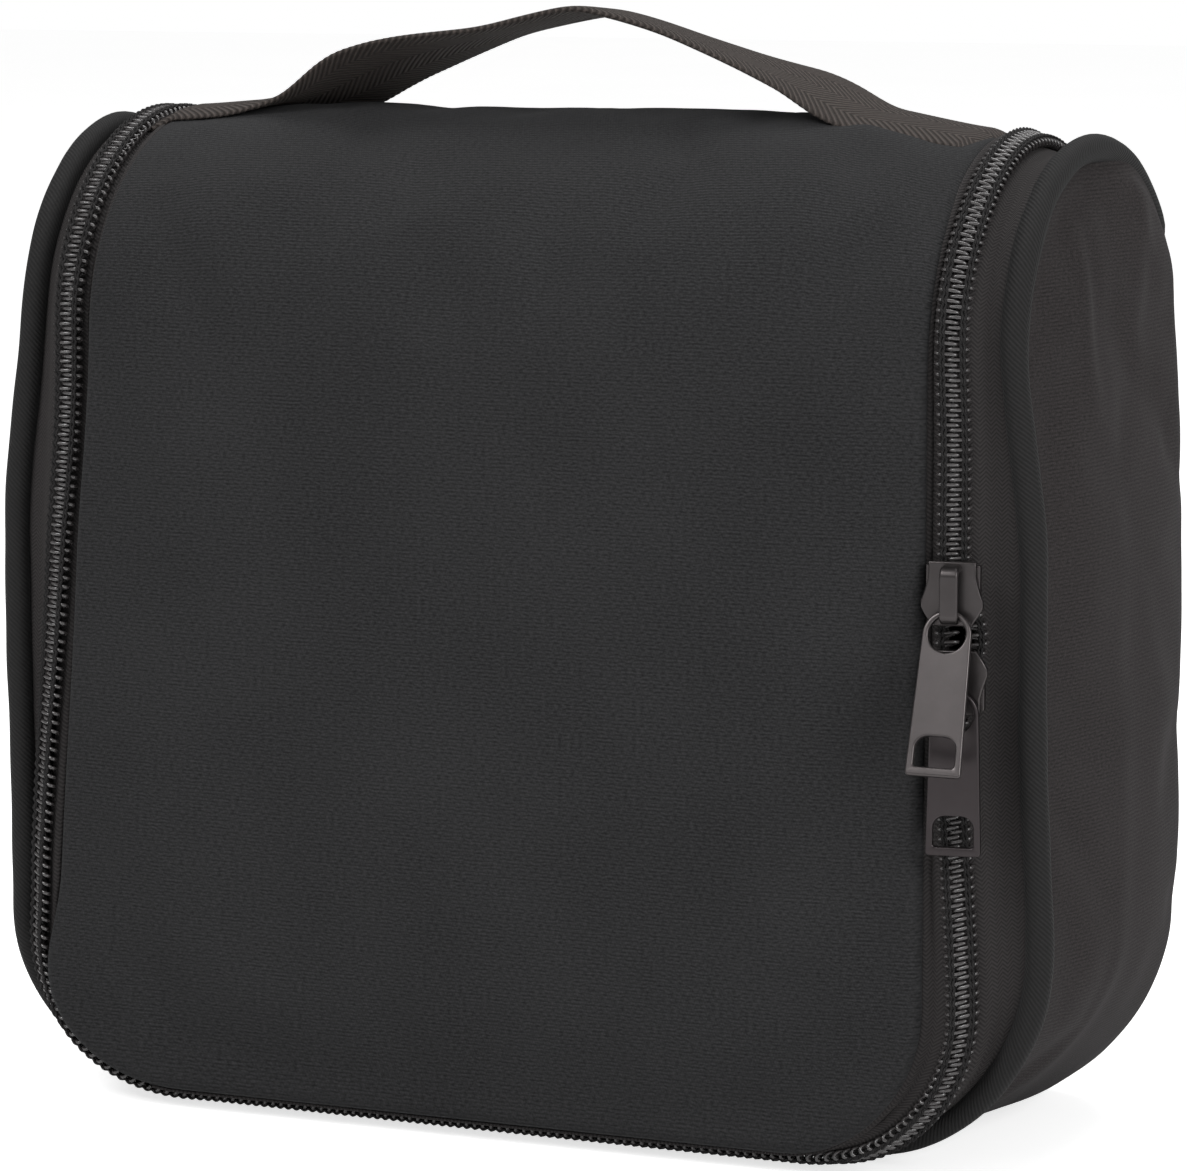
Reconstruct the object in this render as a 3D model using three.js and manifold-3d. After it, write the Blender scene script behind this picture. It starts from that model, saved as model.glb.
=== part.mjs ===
// A hanging toiletry bag: a boxy zipped body with an arched top, a flap that is front and top in
// one, two sliders on one zipper, a webbing handle, and a hook on a strap inside the flap.
// Millimetres. +X is the viewer's right, the front faces -Y, +Z is up, and the origin is the
// middle of the underside.
import * as THREE from "three";
import { mergeVertices } from "three/addons/utils/BufferGeometryUtils.js";
import Module from "manifold-3d";

const wasm = await Module();
wasm.setup();

// Driving dimensions of the whole bag.
const HEIGHT = 195;
const HALF_DEPTH = 45;
const PIPING_X = 106.3; // centre line of the piping, and the side panels' outer face
const PIPING_RADIUS = 2.6;
const GAP = 0.3; // between neighbouring pieces
const FABRIC = 1.4;
const LINING = 0.5;

// The arch over the top, as seen from the side.
const ARCH_Z = HEIGHT - HALF_DEPTH;
const HINGE_ANGLE = 45; // where the flap is sewn to the back, in degrees from straight back
const FOLD_ANGLE = 135; // where the flap folds from its top to its front

// A rail is a line that runs up one side of the opening, over the arch and round the bottom
// corners. x is its half width, arch its side view, and bottomY its place under the bag.
const FLAP_RAIL = {
  x: 87.6, bottom: 4.6, corner: 28, bottomY: -41, arch: { y: 1.5, z: ARCH_Z + 1.5, r: 42.8 },
};
const BODY_RAIL = {
  x: 103.6, bottom: 3.6, corner: 34, bottomY: -30, arch: { y: 2.75, z: ARCH_Z + 1, r: 38.45 },
};

const CHAIN_SHARE = 0.27; // where the zipper's chain lies between the two rails

// The piping lies beside the body rail; lean is its place round the rail, in degrees from
// straight outward, at the sides and under the bag.
const PIPING = { offset: 2.88, leanSide: -20, leanBottom: 75, corner: 36, bottom: 2.8 };
const PIPING_ARCH = { ...BODY_RAIL.arch, r: BODY_RAIL.arch.r + 0.985 };
const PIPING_BACK_Y = PIPING_ARCH.y + PIPING_ARCH.r;
const PIPING_JOIN_ANGLE = 12;

// Gusset: the side panels wrap round the bottom corners to meet the bottom panel.
const GUSSET_CORNER = 38.8;
const GUSSET_SPLIT = 62; // half width of the bottom panel
const GUSSET_BULGE = 2.5;

// Zipper chain: across is measured from the chain's middle, out from the tape's middle plane.
const TAPE = 0.7;
const TAPE_INNER = 1.2;
const COIL_INNER = 1.4;
const COIL_OUTER = 3.6;
const COIL_LOW = TAPE / 2 + GAP;
const COIL_HIGH = COIL_LOW + 2.4;

const SLIDER_Z = { upper: 111, lower: 94.8 };

const PALETTE = {
  shell: { color: 0x2e2e30, roughness: 0.85 },
  lining: { color: 0x3a3b3e, roughness: 0.7 },
  binding: { color: 0x26282a, roughness: 0.8 },
  webbing: { color: 0x2c2928, roughness: 0.8 },
  tape: { color: 0x1f1d1e, roughness: 0.8 },
  coil: { color: 0x1a1a1b, roughness: 0.35 },
  mesh: { color: 0x242426, roughness: 0.9 },
  foam: { color: 0xd8d8d4, roughness: 0.95 },
  gunmetal: { color: 0x6b6664, roughness: 0.4, metalness: 0.9 },
  plastic: { color: 0x17181a, roughness: 0.4 },
};

// ---------- helpers ----------

function piece(name, geometry, finish, parent) {
  const mesh = new THREE.Mesh(geometry, new THREE.MeshStandardMaterial(PALETTE[finish]));
  mesh.name = name;
  parent.add(mesh);
  return mesh;
}

// Profile (y, z) made solid from x = from to x = to.
function prismAlongX(shape, from, to) {
  const geometry = new THREE.ExtrudeGeometry(shape, { depth: to - from, bevelEnabled: false });
  const axes = new THREE.Matrix4().makeBasis(
    new THREE.Vector3(0, 1, 0), new THREE.Vector3(0, 0, 1), new THREE.Vector3(1, 0, 0),
  );
  return geometry.applyMatrix4(axes).translate(from, 0, 0);
}

// Profile (x, z) made solid from y = from to y = to.
function prismAlongY(shape, from, to) {
  const geometry = new THREE.ExtrudeGeometry(shape, { depth: to - from, bevelEnabled: false });
  return geometry.rotateX(Math.PI / 2).translate(0, to, 0);
}

function toManifold(geometry) {
  const bare = geometry.clone();
  bare.deleteAttribute("normal");
  bare.deleteAttribute("uv");
  const merged = mergeVertices(bare, 1e-4);
  return new wasm.Manifold(new wasm.Mesh({
    numProp: 3,
    vertProperties: merged.attributes.position.array,
    triVerts: new Uint32Array(merged.index.array),
  }));
}

function fromManifold(solid) {
  const { vertProperties, triVerts } = solid.getMesh();
  const geometry = new THREE.BufferGeometry();
  geometry.setAttribute("position", new THREE.BufferAttribute(vertProperties, 3));
  geometry.setIndex(new THREE.BufferAttribute(triVerts, 1));
  const flat = geometry.toNonIndexed();
  flat.computeVertexNormals();
  return flat;
}

const common = (a, b) => fromManifold(toManifold(a).intersect(toManifold(b)));
const cut = (a, b) => fromManifold(toManifold(a).subtract(toManifold(b)));
const join = (a, b) => fromManifold(toManifold(a).add(toManifold(b)));

const mirrored = (points) => points.map(([x, z]) => [-x, z]).reverse();

function shapeOf(points) {
  return new THREE.Shape(points.map(([u, v]) => new THREE.Vector2(u, v)));
}

function arcPoints(cx, cy, radius, fromDegrees, toDegrees, steps) {
  return Array.from({ length: steps + 1 }, (_, i) => {
    const angle = THREE.MathUtils.degToRad(
      THREE.MathUtils.lerp(fromDegrees, toDegrees, i / steps),
    );
    return [cx + radius * Math.cos(angle), cy + radius * Math.sin(angle)];
  });
}

// ---------- sweeps along the opening ----------

// One point of a rail: stage 0 to 1 is the arch from the given angle to the front, 1 to 2 the
// straight side, 2 to 3 the bottom corner, and 3 to 4 the bottom to its middle.
function railPoint(rail, stage, startAngle) {
  const { x, bottom, corner, arch, bottomY } = rail;
  const frontY = arch.y - arch.r;
  if (stage <= 1) {
    const angle = THREE.MathUtils.degToRad(THREE.MathUtils.lerp(startAngle, 180, stage));
    return new THREE.Vector3(
      x, arch.y + arch.r * Math.cos(angle), arch.z + arch.r * Math.sin(angle),
    );
  }
  if (stage <= 2) {
    return new THREE.Vector3(
      x, frontY, THREE.MathUtils.lerp(arch.z, bottom + corner, stage - 1),
    );
  }
  if (stage <= 3) {
    const angle = (stage - 2) * Math.PI / 2;
    return new THREE.Vector3(
      x - corner * (1 - Math.cos(angle)),
      THREE.MathUtils.lerp(frontY, bottomY, THREE.MathUtils.smoothstep(stage, 2, 3)),
      bottom + corner * (1 - Math.sin(angle)),
    );
  }
  return new THREE.Vector3(THREE.MathUtils.lerp(x - corner, 0, stage - 3), bottomY, bottom);
}

// The piping's centre beside the body rail, rolling from outside it to behind it at the bottom.
function pipingPoint(stage, startAngle) {
  const lean = THREE.MathUtils.degToRad(THREE.MathUtils.lerp(
    PIPING.leanSide, PIPING.leanBottom, THREE.MathUtils.smoothstep(stage, 2, 3),
  ));
  const corner = THREE.MathUtils.clamp(stage - 2, 0, 1) * Math.PI / 2;
  const outward = new THREE.Vector3(Math.cos(corner), 0, -Math.sin(corner));
  const arch = THREE.MathUtils.degToRad(
    stage < 1 ? THREE.MathUtils.lerp(startAngle, 180, stage) : 180,
  );
  const inward = new THREE.Vector3(0, -Math.cos(arch), -Math.sin(arch));
  return railPoint(BODY_RAIL, stage, startAngle)
    .addScaledVector(outward, PIPING.offset * Math.cos(lean))
    .addScaledVector(inward, PIPING.offset * Math.sin(lean));
}

function stagesBetween(from, to) {
  const all = [];
  for (let i = 0; i <= 12; i += 1) all.push(i / 12);
  for (let i = 1; i <= 2; i += 1) all.push(1 + i / 2);
  for (let i = 1; i <= 8; i += 1) all.push(2 + i / 8);
  all.push(4);
  return all.filter((stage) => stage >= from && stage <= to);
}

const mirrorX = (v) => new THREE.Vector3(-v.x, v.y, v.z);

// Stations hold a point on the chain, the directions across it and out of the bag, and how far
// the two rails are.
function withFrames(pairs) {
  const points = pairs.map(({ inner, outer }) => inner.clone().lerp(outer, CHAIN_SHARE));
  return pairs.map(({ inner, outer }, i) => {
    const along = points[Math.min(i + 1, points.length - 1)].clone()
      .sub(points[Math.max(i - 1, 0)]).normalize();
    const across = outer.clone().sub(inner).normalize();
    const out = along.clone().cross(across).normalize();
    return {
      point: points[i], across, out,
      toFlap: points[i].distanceTo(inner), toBody: points[i].distanceTo(outer),
    };
  });
}

// The zipper's stations between two stages of one side, or right round the opening.
function zipperStations(from, to, startAngle, wholeRound) {
  const right = stagesBetween(from, to).map((stage) => ({
    inner: railPoint(FLAP_RAIL, stage, startAngle),
    outer: railPoint(BODY_RAIL, stage, startAngle),
  }));
  if (!wholeRound) return withFrames(right);
  const left = right.slice(0, -1).reverse().map(({ inner, outer }) => ({
    inner: mirrorX(inner), outer: mirrorX(outer),
  }));
  return withFrames([...right, ...left]);
}

// A closed solid that follows the stations; section(station) lists its corners [across, out].
function sweep(stations, section) {
  const rings = stations.map((station) => section(station).map(([a, b]) =>
    station.point.clone().addScaledVector(station.across, a).addScaledVector(station.out, b)));
  const corners = rings[0].length;
  const positions = [];
  const face = (a, b, c) => positions.push(...a.toArray(), ...b.toArray(), ...c.toArray());
  for (let i = 0; i + 1 < rings.length; i += 1) {
    for (let k = 0; k < corners; k += 1) {
      const next = (k + 1) % corners;
      face(rings[i][k], rings[i + 1][k], rings[i + 1][next]);
      face(rings[i][k], rings[i + 1][next], rings[i][next]);
    }
  }
  const last = rings[rings.length - 1];
  for (let k = 1; k + 1 < corners; k += 1) {
    face(rings[0][0], rings[0][k], rings[0][k + 1]);
    face(last[0], last[k + 1], last[k]);
  }
  const geometry = new THREE.BufferGeometry();
  geometry.setAttribute("position", new THREE.Float32BufferAttribute(positions, 3));
  geometry.computeVertexNormals();
  return geometry;
}

const block = (fromAcross, toAcross, fromOut, toOut) => [
  [fromAcross, fromOut], [fromAcross, toOut], [toAcross, toOut], [toAcross, fromOut],
];

const roundSection = (radius, corners) => () =>
  arcPoints(0, 0, radius, 360, 0, corners).slice(0, -1);

// Stations along a single line: the first across direction is carried along without twist.
function carriedStations(points, firstAcross) {
  let across = firstAcross;
  return points.map((point, i) => {
    const along = points[Math.min(i + 1, points.length - 1)].clone()
      .sub(points[Math.max(i - 1, 0)]).normalize();
    across = across.clone().addScaledVector(along, -across.dot(along)).normalize();
    return { point, across, out: along.clone().cross(across) };
  });
}

const SIDEWAYS = new THREE.Vector3(1, 0, 0);
const BACKWARD = new THREE.Vector3(0, 1, 0);

// ---------- body ----------

// Outer line of the gusset (x, z), from the bottom panel's edge round the corner to the top.
function gussetLine(inset) {
  const corner = arcPoints(
    PIPING_X - GUSSET_CORNER, GUSSET_CORNER, GUSSET_CORNER - inset, -90, 0, 8,
  );
  const sideSteps = 8;
  const side = Array.from({ length: sideSteps }, (_, i) => {
    const share = (i + 1) / sideSteps;
    const bulge = GUSSET_BULGE * Math.sin(Math.PI * share);
    return [PIPING_X - inset + bulge, THREE.MathUtils.lerp(GUSSET_CORNER, HEIGHT, share)];
  });
  return [[GUSSET_SPLIT + GAP, inset], ...corner, ...side];
}

// Side view (y, z) of the room between the two lines of piping, kept clear of them.
function archRoom(clearance) {
  const { y, z, r } = PIPING_ARCH;
  const radius = r - PIPING_RADIUS - clearance;
  return prismAlongX(
    shapeOf([[y - radius, -1], [y + radius, -1], ...arcPoints(y, z, radius, 0, 180, 20)]),
    -PIPING_X - 10, PIPING_X + 10,
  );
}

// Everything forward of the piping where it passes under the bag.
function frontTrim() {
  const right = stagesBetween(1.5, 4).map((stage) => pipingPoint(stage, 0));
  const left = right.slice(0, -1).reverse().map(mirrorX);
  return sweep(
    carriedStations([...right, ...left], BACKWARD),
    () => block(-20, PIPING_RADIUS + GAP, -7, 7),
  );
}

function gussetSide(inset, thickness, side) {
  const outer = gussetLine(inset);
  const inner = gussetLine(inset + thickness).reverse();
  const line = [...outer, ...inner];
  const strip = prismAlongY(
    shapeOf(side > 0 ? line : mirrored(line)), -HALF_DEPTH, HALF_DEPTH,
  );
  return cut(common(strip, archRoom(GAP + inset)), frontTrim());
}

// The bottom lies between the front piping and the back one.
function bottomSheet(inset, thickness) {
  const front = pipingPoint(4, 0).y + PIPING_RADIUS + GAP;
  const back = PIPING_BACK_Y - PIPING_RADIUS - GAP - inset;
  return new THREE.BoxGeometry(2 * GUSSET_SPLIT - GAP, back - front, thickness)
    .translate(0, (front + back) / 2, inset + thickness / 2);
}

// Upright sheet at the back that follows the arch up to the hinge.
function backSheet(inset, thickness, halfWidth, bottom) {
  const outer = HALF_DEPTH - inset;
  const inner = outer - thickness;
  const gapAngle = HINGE_ANGLE - 0.5;
  const profile = shapeOf([
    [inner, bottom], [outer, bottom],
    ...arcPoints(0, ARCH_Z, outer, 0, gapAngle, 8),
    ...arcPoints(0, ARCH_Z, inner, gapAngle, 0, 8),
  ]);
  const outline = roundedOutline(halfWidth, bottom, GUSSET_CORNER - 4, HEIGHT);
  return common(
    prismAlongX(profile, -halfWidth, halfWidth),
    prismAlongY(outline, 0, HALF_DEPTH + 5),
  );
}

// Front view (x, z) with round bottom corners.
function roundedOutline(halfWidth, bottom, corner, top) {
  const right = arcPoints(halfWidth - corner, bottom + corner, corner, -90, 0, 8);
  return shapeOf([...right, [halfWidth, top], ...mirrored([...right, [halfWidth, top]])]);
}

function frontPiping() {
  const right = stagesBetween(0, 4)
    .map((stage) => pipingPoint(stage, PIPING_JOIN_ANGLE + 1));
  const left = right.slice(0, -1).reverse().map(mirrorX);
  return sweep(carriedStations([...right, ...left], SIDEWAYS), roundSection(PIPING_RADIUS, 8));
}

function backPiping() {
  const { y, z, r } = PIPING_ARCH;
  const top = arcPoints(y, z, r, PIPING_JOIN_ANGLE, 0, 3)
    .map(([py, pz]) => new THREE.Vector3(PIPING_X, py, pz));
  const { bottom, corner } = PIPING;
  const round = arcPoints(PIPING_X - corner, bottom + corner, corner, 0, -90, 8)
    .map(([px, pz]) => new THREE.Vector3(px, PIPING_BACK_Y, pz));
  const right = [...top, ...round];
  const left = right.slice().reverse().map(mirrorX);
  return sweep(carriedStations([...right, ...left], SIDEWAYS), roundSection(PIPING_RADIUS, 8));
}

const tapeOnBody = ({ toBody }) => block(TAPE_INNER, toBody - GAP, -TAPE / 2, TAPE / 2);
const tapeOnFlap = ({ toFlap }) => block(-toFlap + GAP, -TAPE_INNER, -TAPE / 2, TAPE / 2);
const coilOnBody = () => block(COIL_INNER, COIL_OUTER, COIL_LOW, COIL_HIGH);
const coilOnFlap = () => block(-COIL_OUTER, -COIL_INNER, COIL_LOW, COIL_HIGH);

// Pocket of open mesh on the back wall, with an elastic top edge.
const WALL_POCKET = { halfWidth: 84, bottom: 12, top: 96, y: 39.4, thickness: 0.8, edge: 8 };

function pocketSheet({ halfWidth, bottom, top, y, thickness, edge }) {
  return prismAlongY(
    roundedOutline(halfWidth, bottom, 24, top - edge - GAP), y, y + thickness,
  );
}

function pocketEdge({ halfWidth, top, y, thickness, edge }) {
  return new THREE.BoxGeometry(2 * halfWidth, 2 * thickness, edge)
    .translate(0, y + thickness / 2, top - edge / 2);
}

function buildBody(bag) {
  piece("back_panel", backSheet(0, FABRIC, PIPING_X - 2.9, 5.4), "shell", bag);
  piece("back_lining", backSheet(FABRIC + GAP, LINING, PIPING_X - 5.3, 8), "lining", bag);
  const lined = FABRIC + GAP;
  for (const [side, sign] of [["left", -1], ["right", 1]]) {
    piece(`side_panel_${side}`, gussetSide(0, FABRIC, sign), "shell", bag);
    piece(`side_lining_${side}`, gussetSide(lined, LINING, sign), "lining", bag);
  }
  piece("bottom_panel", bottomSheet(0, FABRIC), "shell", bag);
  piece("bottom_lining", bottomSheet(lined, LINING), "lining", bag);
  piece("front_piping", frontPiping(), "binding", bag);
  piece("back_piping", backPiping(), "binding", bag);
  const chain = zipperStations(0, 4, HINGE_ANGLE + 3, true);
  piece("body_zip_tape", sweep(chain, tapeOnBody), "tape", bag);
  piece("body_zip_coil", sweep(chain, coilOnBody), "coil", bag);
  piece("wall_pocket_mesh", pocketSheet(WALL_POCKET), "mesh", bag);
  piece("wall_pocket_elastic", pocketEdge(WALL_POCKET), "binding", bag);
}

// ---------- flap, top half ----------

// Curved sheet (y, z) between two angles of the arch, optionally running on down the front.
function flapProfile(inset, thickness, fromAngle, toAngle, bottom) {
  const outer = HALF_DEPTH - inset;
  const inner = outer - thickness;
  const steps = Math.round((toAngle - fromAngle) / 6);
  const down = bottom === undefined ? [] : [[-outer, bottom], [-inner, bottom]];
  return shapeOf([
    ...arcPoints(0, ARCH_Z, outer, fromAngle, toAngle, steps),
    ...down,
    ...arcPoints(0, ARCH_Z, inner, toAngle, fromAngle, steps),
  ]);
}

const HANDLE = { width: 25, thickness: 1.6, rise: 18.5, footX: 66, endX: 84, splitX: 40 };

// Middle line (x, z) of the webbing: flat ends that are sewn down, and an arch between them.
function handleLine() {
  const rest = HEIGHT + GAP + HANDLE.thickness / 2;
  const arch = Array.from({ length: 33 }, (_, i) => {
    const share = i / 32;
    const x = THREE.MathUtils.lerp(-HANDLE.footX, HANDLE.footX, share);
    return [x, rest + HANDLE.rise * Math.sin(Math.PI * share) ** 1.15];
  });
  return [[-HANDLE.endX, rest], ...arch, [HANDLE.endX, rest]];
}

function handleStrap() {
  const half = HANDLE.thickness / 2;
  const line = handleLine();
  const side = (sign) => line.map(([x, z], i) => {
    const [x0, z0] = line[Math.max(i - 1, 0)];
    const [x1, z1] = line[Math.min(i + 1, line.length - 1)];
    const length = Math.hypot(x1 - x0, z1 - z0);
    return [x - sign * half * (z1 - z0) / length, z + sign * half * (x1 - x0) / length];
  });
  return prismAlongY(
    shapeOf([...side(-1), ...side(1).reverse()]), -HANDLE.width / 2, HANDLE.width / 2,
  );
}

function slab(fromX, toX) {
  return new THREE.BoxGeometry(toX - fromX, 60, 80)
    .translate((fromX + toX) / 2, 0, HEIGHT + 20);
}

function buildTopFlap(bag) {
  const { x } = FLAP_RAIL;
  const from = HINGE_ANGLE + 0.5;
  const to = FOLD_ANGLE - 0.5;
  piece("top_panel",
    prismAlongX(flapProfile(0, FABRIC, from, to), -x + GAP, x - GAP), "shell", bag);
  piece("top_lining",
    prismAlongX(flapProfile(FABRIC + GAP, LINING, from, to), -x + 2, x - 2), "lining", bag);
  const foldStage = (FOLD_ANGLE - 1.5 - HINGE_ANGLE) / (180 - HINGE_ANGLE);
  const right = zipperStations(0, foldStage, HINGE_ANGLE + 3, false);
  const left = right.map((station) => ({
    ...station,
    point: mirrorX(station.point), across: mirrorX(station.across), out: mirrorX(station.out),
  })).reverse();
  for (const [side, stations] of [["left", left], ["right", right]]) {
    piece(`top_zip_tape_${side}`, sweep(stations, tapeOnFlap), "tape", bag);
    piece(`top_zip_coil_${side}`, sweep(stations, coilOnFlap), "coil", bag);
  }
  const strap = handleStrap();
  const { splitX, endX } = HANDLE;
  piece("handle_end_left", common(strap, slab(-endX - 1, -splitX - GAP)), "webbing", bag);
  piece("handle_end_right", common(strap, slab(splitX + GAP, endX + 1)), "webbing", bag);
  piece("carry_handle", common(strap, slab(-splitX, splitX)), "webbing", bag);
}

// ---------- flap, front half ----------

const FLAP_POCKET = { halfWidth: 78, bottom: 56, top: 140, y: -40.1, thickness: 0.6, edge: 7 };

function frontSheet(inset, thickness, halfWidth, bottom) {
  const profile = flapProfile(inset, thickness, FOLD_ANGLE + 0.5, 180, bottom);
  return common(
    prismAlongX(profile, -halfWidth, halfWidth),
    prismAlongY(roundedOutline(halfWidth, bottom, FLAP_RAIL.corner, HEIGHT), -HALF_DEPTH - 1, 0),
  );
}

function buildFrontFlap(bag) {
  const { x, bottom } = FLAP_RAIL;
  const foam = 2;
  const foamInset = FABRIC + GAP;
  const liningInset = foamInset + foam + GAP;
  piece("front_panel", frontSheet(0, FABRIC, x - GAP, bottom), "shell", bag);
  piece("front_foam", frontSheet(foamInset, foam, x - 5, bottom + 5), "foam", bag);
  piece("front_lining", frontSheet(liningInset, LINING, x - 2, bottom + 2), "lining", bag);
  const foldStage = (FOLD_ANGLE + 1.5 - HINGE_ANGLE) / (180 - HINGE_ANGLE);
  const chain = zipperStations(foldStage, 4, HINGE_ANGLE + 3, true);
  piece("flap_zip_tape", sweep(chain, tapeOnFlap), "tape", bag);
  piece("flap_zip_coil", sweep(chain, coilOnFlap), "coil", bag);
  piece("flap_pocket_mesh", pocketSheet(FLAP_POCKET), "mesh", bag);
  piece("flap_pocket_edge", pocketEdge({ ...FLAP_POCKET, y: FLAP_POCKET.y + 0.6 }),
    "binding", bag);
}

// ---------- hook and its strap, inside the flap ----------

const HOOK = {
  y: -36.4, strapFoot: 14, strapTop: 44, pivotZ: 48, thickness: 5, bend: 13, bar: 2.6,
};

function buildHook(bag) {
  const { strapFoot, strapTop } = HOOK;
  const strap = new THREE.BoxGeometry(18, 1.2, strapTop - strapFoot)
    .translate(0, HOOK.y, (strapTop + strapFoot) / 2);
  piece("hook_strap", strap, "webbing", bag);
  piece("hanging_hook", hookBody(), "plastic", bag);
}

// A flat plate with a slot for the strap, a shank, and a J that opens to one side.
function hookBody() {
  const { y, pivotZ, thickness, bend, bar } = HOOK;
  const half = bar;
  const plate = new THREE.Shape();
  plate.moveTo(-12, pivotZ - 2);
  plate.lineTo(12, pivotZ - 2);
  plate.lineTo(12, pivotZ + 5);
  plate.quadraticCurveTo(11, pivotZ + 9, half, pivotZ + 11);
  plate.lineTo(half, pivotZ + 22);
  plate.lineTo(-half, pivotZ + 22);
  plate.lineTo(-half, pivotZ + 11);
  plate.quadraticCurveTo(-11, pivotZ + 9, -12, pivotZ + 5);
  const slot = new THREE.Path();
  slot.moveTo(-9.6, pivotZ + 1.2);
  slot.lineTo(-9.6, pivotZ + 3.6);
  slot.lineTo(9.6, pivotZ + 3.6);
  slot.lineTo(9.6, pivotZ + 1.2);
  plate.holes.push(slot);
  const centre = pivotZ + 20 + bend;
  const arc = shapeOf([
    ...arcPoints(0, centre, bend + half, -90, 130, 18),
    ...arcPoints(0, centre, bend - half, 130, -90, 18),
  ]);
  const depths = [y - thickness / 2, y + thickness / 2];
  return join(prismAlongY(plate, ...depths), prismAlongY(arc, ...depths));
}

// ---------- sliders and pulls ----------

const PLATE = { length: 11.8, thickness: 1.4, low: COIL_HIGH + 0.45 };
const BAIL = { width: 3.4, length: 10.6, room: 2.6, bar: 1.2 };
const PULL = { length: 31, width: 10, thickness: 1.4, pivotInset: 0.7 };
const PULL_TILT = { upper: 20, lower: 0 };
const PLATE_TOP = PLATE.low + PLATE.thickness;
const PIVOT_OUT = PLATE_TOP + BAIL.room / 2;
const PIVOT_DOWN = 2; // below the slider's middle

// The slider's outline (across, along), from its square end to its nose; nose is 1 for up.
function sliderOutline(length, nose) {
  const end = length / 2;
  const half = [[5.1, -end], [5.3, -1.4], [5.9, 2.2], [5.7, 3.4], [3.6, end]];
  const outline = [...half, ...half.map(([x, z]) => [-x, z]).reverse()];
  return shapeOf(outline.map(([x, z]) => [x, nose * z]));
}

// The chain runs along Z and the outside of the bag is towards -Y. The inner plate is only on
// the flap's side, so that the flap can open with the slider left on it.
function sliderBody(nose) {
  const top = prismAlongY(sliderOutline(PLATE.length, nose), -PLATE_TOP, -PLATE.low);
  const divider = new THREE.BoxGeometry(1.5, PLATE.low + TAPE / 2 + 0.5, 4.4)
    .translate(0, -(PLATE.low - TAPE / 2 - 0.5) / 2, nose * 3.4);
  const under = new THREE.BoxGeometry(6.2, 1.2, PLATE.length - 0.6)
    .translate(-2.4, TAPE / 2 + 0.35 + 0.6, 0);
  let solid = join(join(top, divider), under);
  for (const sign of [-1, 1]) {
    const flange = new THREE.BoxGeometry(1, PLATE.low - 1.9, PLATE.length - 3.4)
      .translate(sign * 4.6, -(PLATE.low + 1.9) / 2, -nose * 1.2);
    solid = join(solid, flange);
  }
  return join(solid, bailArch());
}

// The bridge that holds the pull: a bar along the slider with a leg at each end.
function bailArch() {
  const end = BAIL.length / 2;
  const top = PLATE_TOP + BAIL.room + BAIL.bar;
  const under = PLATE_TOP + BAIL.room;
  const shape = shapeOf([
    [-PLATE_TOP + 0.3, -end], [-top + 1, -end], [-top, -end + 1.4], [-top, end - 1.4],
    [-top + 1, end], [-PLATE_TOP + 0.3, end], [-PLATE_TOP + 0.3, end - 1.2],
    [-under, end - 2], [-under, -end + 2], [-PLATE_TOP + 0.3, -end + 1.2],
  ].reverse());
  return prismAlongX(shape, -BAIL.width / 2, BAIL.width / 2);
}

// A flat pull with a D-shaped hole for the bail and a long hole near its end, pivot at origin.
function pullPlate() {
  const { length, width, thickness, pivotInset } = PULL;
  const half = width / 2;
  const top = pivotInset;
  const low = top - length;
  const shape = new THREE.Shape();
  shape.moveTo(-half, low + 0.8);
  shape.quadraticCurveTo(-half, low, -half + 0.8, low);
  shape.lineTo(half - 0.8, low);
  shape.quadraticCurveTo(half, low, half, low + 0.8);
  shape.lineTo(half - 0.6, top - 1.2);
  shape.quadraticCurveTo(half - 0.9, top, half - 2, top);
  shape.lineTo(-half + 2, top);
  shape.quadraticCurveTo(-half + 0.9, top, -half + 0.6, top - 1.2);
  const eye = new THREE.Path();
  eye.moveTo(-2.9, -0.65);
  eye.lineTo(-3.1, -4.6);
  eye.quadraticCurveTo(-2.8, -7.4, 0, -7.6);
  eye.quadraticCurveTo(2.8, -7.4, 3.1, -4.6);
  eye.lineTo(2.9, -0.65);
  shape.holes.push(eye);
  const window = new THREE.Path();
  window.moveTo(-2.9, low + 1.8);
  window.lineTo(-2.9, low + 7.4);
  window.lineTo(2.9, low + 7.4);
  window.lineTo(2.9, low + 1.8);
  shape.holes.push(window);
  return prismAlongY(shape, -thickness / 2, thickness / 2);
}

function buildSliders(bag) {
  const inner = railPoint(FLAP_RAIL, 1.5, 0);
  const outer = railPoint(BODY_RAIL, 1.5, 0);
  const middle = inner.clone().lerp(outer, CHAIN_SHARE);
  const splay = Math.atan2(outer.y - inner.y, outer.x - inner.x);
  for (const which of ["upper", "lower"]) {
    const run = new THREE.Group();
    run.position.set(middle.x, middle.y, SLIDER_Z[which]);
    run.rotation.z = splay;
    piece(`slider_${which}`, sliderBody(which === "lower" ? 1 : -1), "gunmetal", run);
    const pull = piece(`pull_${which}`, pullPlate(), "gunmetal", run);
    pull.position.set(0, -PIVOT_OUT, -PIVOT_DOWN);
    pull.rotation.x = -THREE.MathUtils.degToRad(PULL_TILT[which]);
    bag.add(run);
  }
}

function buildBag() {
  const bag = new THREE.Group();
  buildBody(bag);
  buildTopFlap(bag);
  buildFrontFlap(bag);
  buildHook(bag);
  buildSliders(bag);
  return bag;
}

export default buildBag();
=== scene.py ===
"""Looks of a hanging toiletry bag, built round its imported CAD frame.

Shapes are worked out in millimetres in the frame's own axes (+X the viewer's right, the front
faces -Y, +Z up) and scaled to metres when a mesh is made.
"""

import math

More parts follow.
